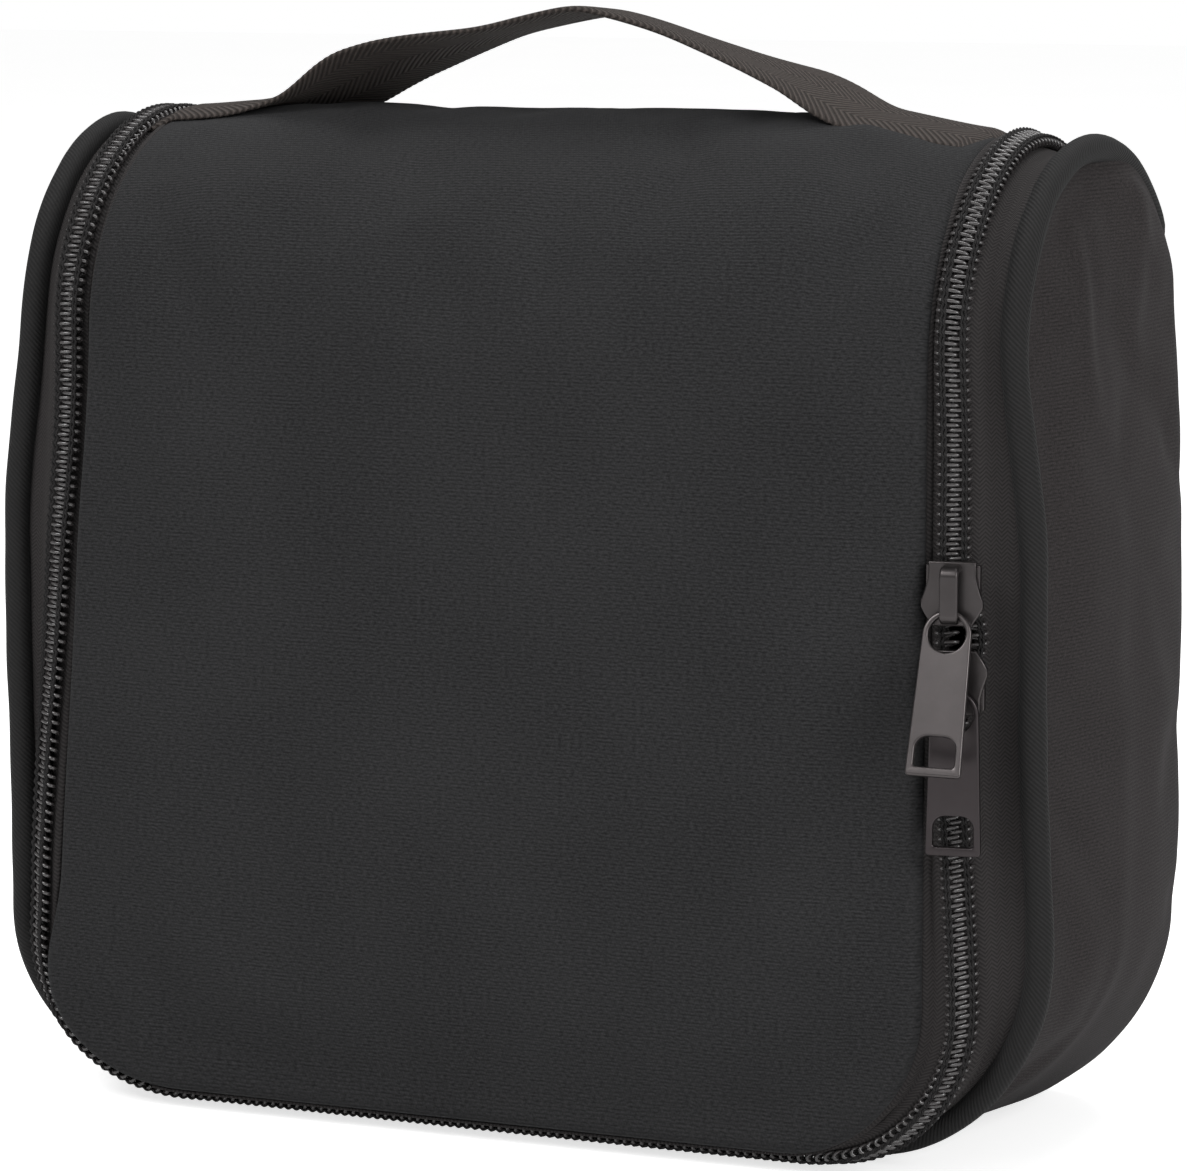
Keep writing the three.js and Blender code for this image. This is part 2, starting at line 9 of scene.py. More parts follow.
import bmesh
import bpy
import numpy as np
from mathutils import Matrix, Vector


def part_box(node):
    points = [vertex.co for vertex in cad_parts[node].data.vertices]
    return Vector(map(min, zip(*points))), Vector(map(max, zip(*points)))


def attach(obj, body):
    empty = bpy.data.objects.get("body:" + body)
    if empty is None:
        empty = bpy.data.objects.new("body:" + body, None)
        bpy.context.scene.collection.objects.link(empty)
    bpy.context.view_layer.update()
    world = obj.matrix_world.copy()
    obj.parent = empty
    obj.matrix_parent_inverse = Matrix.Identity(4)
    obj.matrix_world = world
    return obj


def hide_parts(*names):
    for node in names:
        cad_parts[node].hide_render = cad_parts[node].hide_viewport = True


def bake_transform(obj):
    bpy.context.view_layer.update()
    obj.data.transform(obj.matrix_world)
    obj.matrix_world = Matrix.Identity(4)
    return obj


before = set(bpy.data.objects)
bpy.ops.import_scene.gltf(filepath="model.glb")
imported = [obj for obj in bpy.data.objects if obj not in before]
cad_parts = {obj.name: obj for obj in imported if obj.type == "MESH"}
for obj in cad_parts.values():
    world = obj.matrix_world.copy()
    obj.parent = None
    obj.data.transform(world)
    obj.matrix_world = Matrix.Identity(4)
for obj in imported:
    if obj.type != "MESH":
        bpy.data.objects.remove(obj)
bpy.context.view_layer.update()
MM = 0.001


def box_mm(node):
    """Lowest and highest corner of a CAD node, in millimetres."""
    low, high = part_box(node)
    return np.array(low) / MM, np.array(high) / MM


# ---------- driving dimensions ----------

HALF_DEPTH = box_mm("back_panel")[1][1]
HEIGHT = box_mm("top_panel")[1][2]
ARCH_Z = HEIGHT - HALF_DEPTH
FLAP_HALF = box_mm("front_panel")[1][0]
FLAP_BOTTOM = box_mm("front_panel")[0][2]
FLAP_CORNER = 28
HINGE_ANGLE = 45  # degrees round the arch from straight back
HINGE_FLARE = 7  # how much wider the hinge fabric is below the ends of the zip
CHAIN_START = 48

FLAP_RAIL = dict(
    x=FLAP_HALF + 0.3, bottom=FLAP_BOTTOM, corner=FLAP_CORNER, bottom_y=-41,
    arch_y=1.5, arch_z=ARCH_Z + 1.5, arch_r=42.8,
)
BODY_RAIL = dict(
    x=103.6, bottom=3.6, corner=34, bottom_y=-30,
    arch_y=2.75, arch_z=ARCH_Z + 1, arch_r=38.45,
)
PIPING_RADIUS = 2.6
PIPING_OFFSET = 2.88
PIPING_LEAN, PIPING_ROLL = -20, 95  # degrees about the body rail: at the side, and more below
PIPING_INWARD = round(PIPING_OFFSET * math.sin(math.radians(PIPING_LEAN)), 3)
PIPING_X = 106.3
PIPING_ARCH_R = BODY_RAIL["arch_r"] - PIPING_INWARD
PIPING_BACK_Y = BODY_RAIL["arch_y"] + PIPING_ARCH_R
GUSSET_CORNER = 38.8

CHAIN_SHARE = 0.27  # where the chain lies between the two rails
COIL_PITCH = 1.8
FILAMENT = 0.36
COIL_HEAD = -1.1  # how far a loop's head crosses the middle of the chain
COIL_TURN = 3.0  # where a loop turns back, from the middle of the chain
COIL_LEVEL = 1.8
COIL_RISE = 0.85
OPEN_SPAN = (90, 114)  # height between the two sliders over which the coil halves part
OPEN_WIDTH = {-1: 0.2, 1: 3.4}  # the flap's half stays under the pulls, the body's bulges

# How the sewn bag really lies, against the drawing: mm at the places where it strays most.
LEFT_LEAN, LEFT_FOOT = 6.0, 5.5  # the flap's left edge stands out downwards, most at the foot
LEFT_TUCK = 2.6  # and is drawn in near the top
CHAIN_FOOT, CHAIN_HEAD = 3.8, 0.8  # the chain's left run sinks in below and stands out above
CHAIN_LOW, CHAIN_HIGH = 2.6, 1.1  # its right run leans away below and is drawn in above
TOP_TUCK = 4.5  # the body's front edge is drawn in near the top
SIDE_TUCK = 1.3  # and on the left halfway down
FOOT_LEAN = 2.0  # and stands a little to the right lower down
FOOT_TUCK = 6.5  # but is drawn back to the left under the bag
BACK_TUCK = 3.5  # the back seam is drawn in behind the bulging side
TOP_DROOP = 3.6  # the top falls from its middle towards the zip
CHAIN_DROP = 0.2  # underneath, the chain hangs a little
EDGE_DROP = 1.2  # and the flap's edge hangs over it
UPPER_SLIP, LOWER_SLIP = 0.6, 1.6  # how far each slider lies to the right of the drawn chain


# ---------- mesh helpers ----------

def unit(v):
    """Vectors brought to length 1."""
    return v / np.linalg.norm(v, axis=-1, keepdims=True)


def join(*values):
    """Coordinates brought to one shape and stacked on a last axis."""
    return np.stack(np.broadcast_arrays(*values), axis=-1)


def run_of(line):
    """Length along a line up to each of its points."""
    return np.concatenate([[0], np.cumsum(np.linalg.norm(np.diff(line, axis=0), axis=1))])


def read(at, known, values):
    """Values, or points, looked up between the known lengths."""
    if values.ndim == 1:
        return np.interp(at, known, values)
    return join(*(np.interp(at, known, column) for column in values.T))


def squarer(wave, power):
    """A sine or cosine with its turns pulled out towards a square wave."""
    return np.sign(wave) * np.abs(wave) ** power


def smooth(x, low=0.0, high=1.0):
    """0 below low, 1 above high and an S curve between."""
    t = np.clip((np.asarray(x, float) - low) / (high - low), 0, 1)
    return t * t * (3 - 2 * t)


def link(name, data):
    """A new object in the scene."""
    obj = bpy.data.objects.new(name, data)
    bpy.context.scene.collection.objects.link(obj)
    return obj


def mesh_object(name, points, faces, uvs, material):
    """points in mm, uvs one (u, v) pair per face corner, in mm."""
    mesh = bpy.data.meshes.new(name)
    mesh.from_pydata((np.asarray(points) * MM).tolist(), [], faces)
    layer = mesh.uv_layers.new(name="length")
    layer.data.foreach_set("uv", np.asarray(uvs, np.float32).ravel())
    mesh.polygons.foreach_set("use_smooth", [True] * len(mesh.polygons))
    mesh.materials.append(material)
    mesh.validate()
    return link(name, mesh)


def lattice(name, points, uv, material, closed=False):
    """A sheet from a (rows, columns, 3) array, or a closed tube whose columns go round it.
    uv is (rows, columns, 2), with one more column for a tube."""
    rows, columns = points.shape[:2]
    faces, corners = [], []
    for i in range(rows - 1):
        for j in range(columns if closed else columns - 1):
            k = (j + 1) % columns
            faces.append((i * columns + j, i * columns + k,
                          (i + 1) * columns + k, (i + 1) * columns + j))
            corners += [uv[i, j], uv[i, j + 1], uv[i + 1, j + 1], uv[i + 1, j]]
    if closed:
        for row, order in ((0, -1), (rows - 1, 1)):
            ring = range(columns)[::order]
            faces.append(tuple(row * columns + j for j in ring))
            corners += [uv[row, j] for j in ring]
    return mesh_object(name, points.reshape(-1, 3), faces, corners, material)


def tube(name, line, normal, radius, sides, material):
    """A round tube along a line; normal is one direction square to it at each point."""
    along = unit(np.gradient(line, axis=0))
    first = unit(normal - along * (normal * along).sum(1, keepdims=True))
    second = np.cross(along, first)
    radius = np.broadcast_to(radius, len(line))[:, None, None]
    turn = np.linspace(0, 2 * math.pi, sides + 1)
    ring = (np.cos(turn)[None, :, None] * first[:, None]
            + np.sin(turn)[None, :, None] * second[:, None])
    points = line[:, None] + radius * ring
    uv = join(radius[:, :, 0] * turn, run_of(line)[:, None])
    return lattice(name, points[:, :-1], uv, material, closed=True)


def sheet(name, points, u, v, material, turned=False):
    """A lattice whose lengths are u and v; turned faces it the other way."""
    uv = join(u, v)
    if turned:
        points, uv = points[:, ::-1], uv[:, ::-1]
    return lattice(name, points, uv, material)


def coordinates(mesh):
    """A mesh's points, in metres."""
    values = np.zeros(len(mesh.vertices) * 3, np.float32)
    mesh.vertices.foreach_get("co", values)
    return values.reshape(-1, 3)


def thicken(obj, thickness):
    """Gives a sheet its thickness, in mm, on its inner side."""
    made = obj.modifiers.new("thickness", "SOLIDIFY")
    made.thickness = thickness * MM
    made.offset = -1
    made.use_even_offset = False
    return obj


def refine(obj):
    made = obj.modifiers.new("refine", "SUBSURF")
    made.levels = made.render_levels = 1
    made.boundary_smooth = "PRESERVE_CORNERS"
    return obj


# ---------- the line of the opening ----------

def rail_points(rail, stage, start):
    """Stage 0 to 1 is the arch, 1 to 2 the straight side, 2 to 3 the bottom corner and 3 to 4
    the bottom to its middle."""
    angle = np.radians(start + (180 - start) * np.clip(stage, 0, 1))
    x = np.full_like(stage, rail["x"])
    y = rail["arch_y"] + rail["arch_r"] * np.cos(angle)
    z = rail["arch_z"] + rail["arch_r"] * np.sin(angle)
    down = np.clip(stage - 1, 0, 1)
    z += (rail["bottom"] + rail["corner"] - rail["arch_z"]) * down
    corner = np.clip(stage - 2, 0, 1) * math.pi / 2
    x -= rail["corner"] * (1 - np.cos(corner))
    z -= rail["corner"] * np.sin(corner)
    y += (rail["bottom_y"] - y) * smooth(stage, 2, 3) * (stage > 2)
    x -= (rail["x"] - rail["corner"]) * np.clip(stage - 3, 0, 1)
    return join(x, y, z)


def mirror_line(right):
    """Carries a right-hand line on round to the left."""
    return np.concatenate([right, right[-2::-1] * [-1, 1, 1]])


def soften(line, width):
    """Rounds a line's corners by a moving mean over this many points."""
    kernel = np.hanning(width + 2)[1:-1]
    kernel /= kernel.sum()
    padded = np.pad(line, ((width // 2, width // 2), (0, 0)), mode="edge")
    return join(*(np.convolve(column, kernel, "valid") for column in padded.T))


def flap_shift(x, z):
    """How far the flap's edge lies to the right of the drawing; only its left side strays."""
    tuck = LEFT_TUCK * smooth(z, 108, 153)
    lean = LEFT_LEAN * smooth(133 - z, 0, 115) + LEFT_FOOT * smooth(46 - z, 0, 34)
    return (tuck - lean) * smooth(-x, 25, 85)


def top_droop(x, z):
    """How far the top lies below the drawing; less on the left, and least at the piping."""
    side = smooth(np.abs(x), 58, 88) * (1 - 0.75 * smooth(np.abs(x), 90, 106))
    return TOP_DROOP * side * (1 - 0.5 * smooth(-x, 30, 70)) * smooth(z, ARCH_Z, ARCH_Z + 36)


def on_flap(points):
    """Carries points of the flap to where they really lie."""
    x, y, z = np.moveaxis(points, -1, 0)
    drop = top_droop(x, z) + EDGE_DROP * smooth(FLAP_BOTTOM + 12 - z, 0, 12)
    return join(x + flap_shift(x, z), y, z - drop)


def chain_shift(x, z):
    """How far the chain lies to the right of the drawing: it follows the flap's edge loosely."""
    right = CHAIN_LOW * smooth(85 - z, 0, 55) - CHAIN_HIGH * smooth(z, 133, 168)
    foot = CHAIN_FOOT * smooth(48 - z, 0, 30) * smooth(-x, 40, 75)
    head = CHAIN_HEAD * smooth(z, 120, 160) * smooth(-x, 60, 80)
    return flap_shift(x, z) + right * smooth(x, 40, 80) + foot - head


def body_shift(x, y, z):
    """How far the body lies to the right of the drawing: most at its front edge."""
    front = 1 - 0.75 * smooth(y, -30, 42)
    tuck = TOP_TUCK * smooth(z, ARCH_Z - 38, ARCH_Z + 10)
    tucked = FOOT_TUCK * smooth(45 - z, 0, 42) * (0.3 + 0.7 * smooth(x, -60, 60))
    foot = FOOT_LEAN * smooth(90 - z, 0, 50) - tucked
    back = BACK_TUCK * smooth(y, 34, 42.2) * smooth(np.abs(x), 50, 100)
    hollow = SIDE_TUCK * smooth(z, 40, 85) * smooth(-x, 50, 90)
    return front * (foot + hollow - np.sign(x) * tuck) - np.sign(x) * back


def drawn_in(points):
    """Carries points of the body to where they really lie."""
    x, y, z = np.moveaxis(points, -1, 0)
    return join(x + body_shift(x, y, z), y, z - top_droop(x, z))


def stages(*counts):
    """Stages along a rail, with this many points on each of its four stretches."""
    return np.concatenate([
        np.linspace(k, k + 1, count)[min(k, 1):] for k, count in enumerate(counts)])


class Track:
    """The zip's middle line with the directions across and out of it, by length along it."""

    def __init__(self, start):
        stage = stages(160, 160, 120, 120)
        inner = soften(mirror_line(rail_points(FLAP_RAIL, stage, start)), 13)
        outer = soften(mirror_line(rail_points(BODY_RAIL, stage, start)), 13)
        self.middle = inner + (outer - inner) * CHAIN_SHARE
        x, z = self.middle[:, 0], self.middle[:, 2]
        x += chain_shift(x, z)
        z -= top_droop(x, z)
        z -= CHAIN_DROP * smooth(FLAP_BOTTOM + 8 - z, 0, 8)
        self.at = run_of(self.middle)
        across = unit(outer - inner)
        out = unit(np.cross(unit(np.gradient(self.middle, axis=0)), across))
        turn = self.left_turn()[:, None]
        self.across = across * np.cos(turn) - out * np.sin(turn)
        self.out = out * np.cos(turn) + across * np.sin(turn)
        self.rails = {-1: on_flap(inner), 1: drawn_in(outer)}
        self.length = self.at[-1]

    def left_turn(self):
        """The chain's left run faces inwards at the top and rolls outwards as it goes down."""
        x, z = self.middle[:, 0], self.middle[:, 2]
        return np.radians((34 * smooth(150 - z, 0, 110) - 16) * smooth(-x, 60, 85))

    def read(self, values, s):
        return read(s, self.at, values)

    def place(self, s, across, out):
        """Points at length s, measured across and out of the chain."""
        return (self.read(self.middle, s) + across[..., None] * self.read(self.across, s)
                + out[..., None] * self.read(self.out, s))


track = Track(CHAIN_START)


def parting(s, side):
    """How far a coil half stands off the middle; the zip is open between the two sliders."""
    point = track.read(track.middle, s)
    low, high = OPEN_SPAN
    share = np.clip((point[..., 2] - low) / (high - low), 0, 1)
    return OPEN_WIDTH[side] * np.sin(math.pi * share) ** 2 * (point[..., 0] > 50)


# ---------- materials ----------

class Nodes:
    """Short calls for building one material's node tree."""

    def __init__(self, name):
        self.material = bpy.data.materials.new(name)
        self.material.use_nodes = True
        self.tree = self.material.node_tree
        self.shader = self.tree.nodes["Principled BSDF"]

    def add(self, kind, **inputs):
        node = self.tree.nodes.new(kind)
        for key, value in inputs.items():
            self.set(node.inputs[key.replace("_", " ")], value)
        return node

    def set(self, socket, value):
        if isinstance(value, bpy.types.NodeSocket):
            self.tree.links.new(value, socket)
        else:
            socket.default_value = value

    def math(self, operation, a, b=None, c=None):
        node = self.tree.nodes.new("ShaderNodeMath")
        node.operation = operation
        for socket, value in zip(node.inputs, (a, b, c)):
            if value is not None:
                self.set(socket, value)
        return node.outputs[0]

    def scaled(self, value, by, plus=0.0):
        """value * by + plus, for numbers or sockets."""
        return self.math("MULTIPLY_ADD", value, by, plus)

    def lengths(self):
        """(u, v) of the surface, in millimetres."""
        uv = self.tree.nodes.new("ShaderNodeUVMap")
        uv.uv_map = "length"
        split = self.tree.nodes.new("ShaderNodeSeparateXYZ")
        self.tree.links.new(uv.outputs[0], split.inputs[0])
        return split.outputs[0], split.outputs[1]

    def wave(self, value, period):
        """A sine from 0 to 1 along a length."""
        return self.scaled(self.math("SINE", self.scaled(value, 2 * math.pi / period)), 0.5, 0.5)

    def noise(self, scale, detail=2.0, roughness=0.5):
        place = self.tree.nodes.new("ShaderNodeTexCoord")
        node = self.add("ShaderNodeTexNoise", Vector=place.outputs["Object"], Scale=scale,
                        Detail=detail, Roughness=roughness)
        return node.outputs["Fac"]

    def slub(self, u, v):
        """Uneven yarn: noise drawn out along u, spread over the range from 0 to 1."""
        place = self.add("ShaderNodeCombineXYZ", X=self.scaled(u, 1.2), Y=self.scaled(v, 2.6))
        node = self.add("ShaderNodeTexNoise", Vector=place.outputs[0], Scale=1.0, Detail=2.0)
        return self.scaled(node.outputs["Fac"], 2.4, -0.7)

    def mix(self, factor, a, b):
        node = self.tree.nodes.new("ShaderNodeMix")
        node.data_type = "RGBA"
        self.set(node.inputs["Factor"], factor)
        self.set(node.inputs["A"], a)
        self.set(node.inputs["B"], b)
        return node.outputs["Result"]

    def bump(self, height, distance):
        node = self.add("ShaderNodeBump", Height=height, Distance=distance * MM, Strength=1.0)
        return node.outputs["Normal"]

    def finish(self, **inputs):
        for key, value in inputs.items():
            self.set(self.shader.inputs[key.replace("_", " ")], value)
        return self.material


def shade(red, green, blue):
    """Linear colour from 0 to 255 display values."""
    def linear(c):
        c /= 255
        return c / 12.92 if c <= 0.04045 else ((c + 0.055) / 1.055) ** 2.4
    return (linear(red), linear(green), linear(blue), 1.0)


def ribbed_polyester(name, dark, light, rib=0.72):
    """Plain weave with a heavier cross yarn, so it shows fine level ribs."""
    n = Nodes(name)
    u, v = n.lengths()
    cloud = n.noise(900, 3)
    bent = n.scaled(cloud, 0.5, v)
    ribs = n.wave(bent, rib)
    row = n.math("FLOOR", n.math("DIVIDE", bent, rib))
    picks = n.wave(n.scaled(row, 0.27, u), 0.54)
    weave = n.scaled(ribs, n.scaled(picks, 0.55, 0.45))
    fleck = n.slub(u, v)
    mottle = n.noise(28, 3)
    level = n.scaled(fleck, 0.7, n.scaled(weave, 0.32))
    level = n.scaled(mottle, 0.35, n.math("SUBTRACT", level, 0.15))
    color = n.mix(level, dark, light)
    height = n.scaled(fleck, 0.45, n.scaled(weave, 0.7))
    return n.finish(
        Base_Color=color, Roughness=n.scaled(fleck, 0.15, 0.78),
        Normal=n.bump(height, 0.09), Sheen_Weight=0.06, Sheen_Roughness=0.45,
        Sheen_Tint=(0.6, 0.6, 0.62, 1), Specular_IOR_Level=0.2,
    )


def twill_binding():
    n = Nodes("twill_binding")
    u, v = n.lengths()
    ridges = n.wave(n.scaled(u, 0.9, v), 0.95)
    grain = n.noise(2200, 2)
    return n.finish(
        Base_Color=n.mix(n.scaled(grain, 0.45, n.scaled(ridges, 0.5)),
                         shade(21, 21, 21), shade(49, 48, 48)),
        Roughness=0.72, Normal=n.bump(n.scaled(grain, 0.35, ridges), 0.08),
        Sheen_Weight=0.05, Sheen_Tint=(0.6, 0.62, 0.64, 1), Specular_IOR_Level=0.2,
    )


def herringbone(name, dark, light, ridge, column, depth):
    """Ridges that lean one way and then the other in columns along the strip."""
    n = Nodes(name)
    u, v = n.lengths()
    ridges = n.wave(n.math("ADD", n.math("PINGPONG", u, column), v), ridge)
    grain = n.noise(2400, 2)
    return n.finish(
        Base_Color=n.mix(n.scaled(grain, 0.4, n.scaled(ridges, 0.6)), dark, light),
        Roughness=0.78, Normal=n.bump(n.scaled(grain, 0.3, ridges), depth),
        Sheen_Weight=0.05, Sheen_Tint=(0.65, 0.62, 0.6, 1), Specular_IOR_Level=0.2,
    )


def nylon_filament():
    n = Nodes("nylon_coil")
    smear = n.noise(1500, 3)
    return n.finish(
        Base_Color=n.mix(smear, shade(40, 38, 38), shade(84, 80, 80)),
        Roughness=n.scaled(smear, 0.15, 0.2),
        Normal=n.bump(smear, 0.02), Specular_IOR_Level=1.0, Coat_Weight=0.5,
    )


def coil_thread():
    n = Nodes("coil_thread")
    u, v = n.lengths()
    ply = n.wave(n.math("ADD", u, v), 0.6)
    return n.finish(
        Base_Color=n.mix(ply, shade(18, 17, 18), shade(44, 42, 42)), Roughness=0.7,
        Normal=n.bump(ply, 0.05), Specular_IOR_Level=0.3,
    )


def gunmetal(name, dark, light):
    n = Nodes(name)
    smear = n.noise(160, 4, 0.6)
    grain = n.noise(6000, 2)
    return n.finish(
        Base_Color=n.mix(smear, dark, light),
        Metallic=0.9, Roughness=n.scaled(smear, 0.14, 0.24),
        Normal=n.bump(grain, 0.006),
    )


def moulded_plastic():
    n = Nodes("moulded_plastic")
    grain = n.noise(1800, 2)
    return n.finish(
        Base_Color=n.mix(grain, shade(22, 22, 24), shade(34, 34, 36)),
        Roughness=n.scaled(grain, 0.15, 0.35), Normal=n.bump(grain, 0.02),
    )


def pocket_mesh():
    """Knitted net: threads in a diamond pattern with open holes."""
    n = Nodes("pocket_mesh")
    u, v = n.lengths()
    one = n.math("ADD", u, v)
    two = n.math("SUBTRACT", u, v)
    threads = n.math("MAXIMUM", n.wave(one, 3.2), n.wave(two, 3.2))
    solid = n.math("GREATER_THAN", threads, 0.72)
    return n.finish(
        Base_Color=n.mix(threads, shade(22, 22, 23), shade(58, 58, 60)), Roughness=0.7,
        Normal=n.bump(threads, 0.2), Alpha=solid,
    )


FABRIC = ribbed_polyester("ribbed_polyester", shade(22, 22, 23), shade(60, 60, 61))
SIDE_FABRIC = ribbed_polyester("ribbed_polyester_side", shade(25, 22, 22), shade(64, 60, 60))
LINING = ribbed_polyester("lining_polyester", shade(40, 41, 44), shade(70, 71, 76), 0.4)
BINDING = twill_binding()
TAPE = herringbone("zip_tape", shade(33, 31, 31), shade(69, 66, 66), 0.8, 1.1, 0.06)
WEBBING = herringbone("webbing", shade(30, 27, 25), shade(96, 88, 84), 1.45, 6.4, 0.4)
NYLON = nylon_filament()
THREAD = coil_thread()
GUNMETAL = gunmetal("gunmetal", shade(74, 70, 70), shade(94, 90, 90))
# Lit and shaded copies of one gunmetal: the upper pull's is painted lighter (painted highlight),
# the lower pull's painted darker (painted shade).
PAINTED_LIGHT_METAL = gunmetal("gunmetal_painted_light", shade(84, 80, 80), shade(104, 99, 99))
PAINTED_SHADE_METAL = gunmetal("gunmetal_painted_shade", shade(64, 59, 60), shade(80, 75, 76))
PLASTIC = moulded_plastic()
NET = pocket_mesh()


# ---------- the zip ----------

def coil_half(name, side):
    """One row of nylon loops; side is -1 on the flap and 1 on the body."""
    loops = int(track.length / COIL_PITCH) - 1
    turn = np.linspace(0, loops, loops * 14 + 1)
    angle = 2 * math.pi * turn
    lower_leg = 0.3 * (1 - np.cos(angle)) / 2  # the upper leg lies square to the chain
    s = (turn - lower_leg + (0.5 if side < 0 else 0)) * COIL_PITCH
    centre = (COIL_TURN + COIL_HEAD) / 2
    swing = (COIL_TURN - COIL_HEAD) / 2
    lift = squarer(np.sin(angle), 0.7)
    across = side * (centre + swing * np.cos(angle) + parting(s, side))
    line = track.place(s, across, COIL_LEVEL + COIL_RISE * lift)
    normal = (side * np.cos(angle)[:, None] * track.read(track.across, s)
              + np.sin(angle)[:, None] * track.read(track.out, s))
    return tube(name, line, normal, FILAMENT, 7, NYLON)


def coil_stitching(name, side):
    """The band of sewing thread that crosses over the loops and dips between them."""
    s = np.arange(0, track.length, COIL_PITCH / 8)
    phase = 2 * math.pi * (s / COIL_PITCH - (0.5 if side < 0 else 0))
    top = COIL_LEVEL + COIL_RISE + FILAMENT
    strands = []
    for number, place in enumerate((1.6, 2.15), 1):
        dip = 0.5 - 0.5 * np.cos(phase - 0.9)
        across = side * (place + 0.12 * np.sin(phase + number) + parting(s, side))
        line = track.place(s, across, top - 0.36 * dip)
        strands.append(tube(f"{name}_{number}", line, track.read(track.across, s),
                            0.3, 6, THREAD))
    return strands


def tape_half(name, side):
    """Woven tape that lies flat under the coil, then bends away to its rail and under it."""
    s = np.arange(0, track.length, 1.4)
    middle, rail = track.read(track.middle, s), track.read(track.rails[side], s)
    reach = np.linalg.norm(rail - middle, axis=1)
    share = np.linspace(0, 1, 14)
    near = 0.5 + parting(s, side)
    across = near[:, None] + (reach + 1.2 - near)[:, None] * share
    straight = middle[:, None] + (rail - middle)[:, None] * (across / reach[:, None])[..., None]
    flat = np.stack([track.place(s, side * across[:, k], 0 * s) for k in range(14)], 1)
    bend = smooth(across, 3.0, reach[:, None])[..., None]
    sag = 0.9 * np.sin(math.pi * bend) * (1 + 0.15 * np.sin(s / 9)[:, None, None])
    points = flat + (straight - flat) * bend - sag * track.read(track.out, s)[:, None]
    return thicken(sheet(name, points, side * across, s[:, None], TAPE, side < 0), 0.6)


# ---------- piping ----------

def piping_lean(turned):
    """The piping's angle about the body rail: it rolls from beside it to behind it below."""
    return np.radians(PIPING_LEAN + PIPING_ROLL * turned)


def piping_line(stage, start):
    """Centre of the front piping."""
    lean = piping_lean(smooth(stage, 2, 3))
    corner = np.clip(stage - 2, 0, 1) * math.pi / 2
    outward = join(np.cos(corner), 0, -np.sin(corner))
    arch = np.radians(start + (180 - start) * np.clip(stage, 0, 1))
    inward = join(0, -np.cos(arch), -np.sin(arch))
    return (rail_points(BODY_RAIL, stage, start)
            + PIPING_OFFSET * np.cos(lean)[:, None] * outward
            + PIPING_OFFSET * np.sin(lean)[:, None] * inward)


def piping(name, line):
    """A round roll of bias-cut binding over a cord."""
    line = drawn_in(soften(line, 5))
    length = run_of(line)
    even = np.arange(0, length[-1], 1.6)
    line = read(even, length, line)
    radius = PIPING_RADIUS + 0.06 * np.sin(even / 7) + 0.05 * np.sin(even / 2.9 + 1)
    along = unit(np.gradient(line, axis=0))
    normal = unit(np.cross(along, np.array([0.3, 1, 0.2])))
    return tube(name, line, normal, radius, 22, BINDING)


PIPING_JOIN, PIPING_LAP = 12, 6  # degrees round the arch: the back piping's end, and the overlap


def front_piping():
    line = piping_line(stages(60, 60, 50, 40), PIPING_JOIN - PIPING_LAP)
    return piping("front_piping_roll", mirror_line(line))


def back_piping():
    corner, bottom = 36, 2.8
    end = np.radians(np.linspace(PIPING_JOIN, 0, 8))
    bend = np.radians(np.linspace(0, 90, 30)[1:])
    line = np.concatenate([
        join(PIPING_X, BODY_RAIL["arch_y"] + PIPING_ARCH_R * np.cos(end),
             BODY_RAIL["arch_z"] + PIPING_ARCH_R * np.sin(end)),
        join(PIPING_X, PIPING_BACK_Y, np.linspace(BODY_RAIL["arch_z"], bottom + corner, 60)[1:]),
        join(PIPING_X - corner * (1 - np.cos(bend)), PIPING_BACK_Y,
             bottom + corner * (1 - np.sin(bend))),
        join(np.linspace(PIPING_X - corner, 0, 30)[1:], PIPING_BACK_Y, bottom),
    ])
    return piping("back_piping_roll", mirror_line(line))


# ---------- fabric sheets ----------

EDGE = np.array([0, 0.3, 0.7, 1.2, 1.9, 2.8, 4.2, 6.2, 9.0])  # grid lines in from a rim


def spread(low, high, step):
    """Values from low to high that crowd together near both ends."""
    count = max(2, int(round((high - low - 2 * EDGE[-1]) / step)))
    inner = np.linspace(low + EDGE[-1], high - EDGE[-1], count + 1)[1:-1]
    return np.concatenate([low + EDGE, inner, high - EDGE[::-1]])


def round_corners(u, v, half, low, corner):
    """Moves a square grid's lower corners (v below low + corner) on to quarter circles.
    Returns the moved grid and each point's distance in from the outline."""
    a = np.clip((np.abs(u) - (half - corner)) / corner, 0, 1)
    b = np.clip((low + corner - v) / corner, 0, 1)
    inside = (a > 0) & (b > 0)
    new_a, new_b = a * np.sqrt(1 - b * b / 2), b * np.sqrt(1 - a * a / 2)
    u2 = np.where(inside, np.sign(u) * (half - corner + corner * new_a), u)
    v2 = np.where(inside, low + corner - corner * new_b, v)
    radial = corner * (1 - np.hypot(new_a, new_b))
    straight = np.minimum(half - np.abs(u), v - low)
    return u2, v2, np.where(inside, radial, straight)


def rolled(d, radius):
    """How far a sheet has turned down at distance d from a rounded rim."""
    left = np.clip(radius - d, 0, radius)
    return radius - np.sqrt(radius * radius - left * left)


def lumps(u, v, size, seed, waves=5):
    """Low, smooth unevenness from -1 to 1, the same on every run."""
    total = np.zeros_like(u)
    random = np.random.default_rng(seed)
    for octave in range(3):
        for _ in range(waves):
            direction = random.uniform(0, math.pi)
            phase = random.uniform(0, 2 * math.pi)
            length = size / (1.6 ** octave) * random.uniform(0.8, 1.25)
            along = u * math.cos(direction) + v * math.sin(direction)
            total += np.sin(2 * math.pi * along / length + phase) / (waves * 1.7 ** octave)
    return total


def crease(u, v, start, end, width):
    """1 on a line between two points, falling away over its width and at its ends."""
    start, end = np.array(start, float), np.array(end, float)
    along = (end - start) / np.linalg.norm(end - start)
    du, dv = u - start[0], v - start[1]
    run = (du * along[0] + dv * along[1]) / np.linalg.norm(end - start)
    side = du * along[1] - dv * along[0]
    return np.exp(-(side / width) ** 2) * np.sin(math.pi * np.clip(run, 0, 1)) ** 0.7


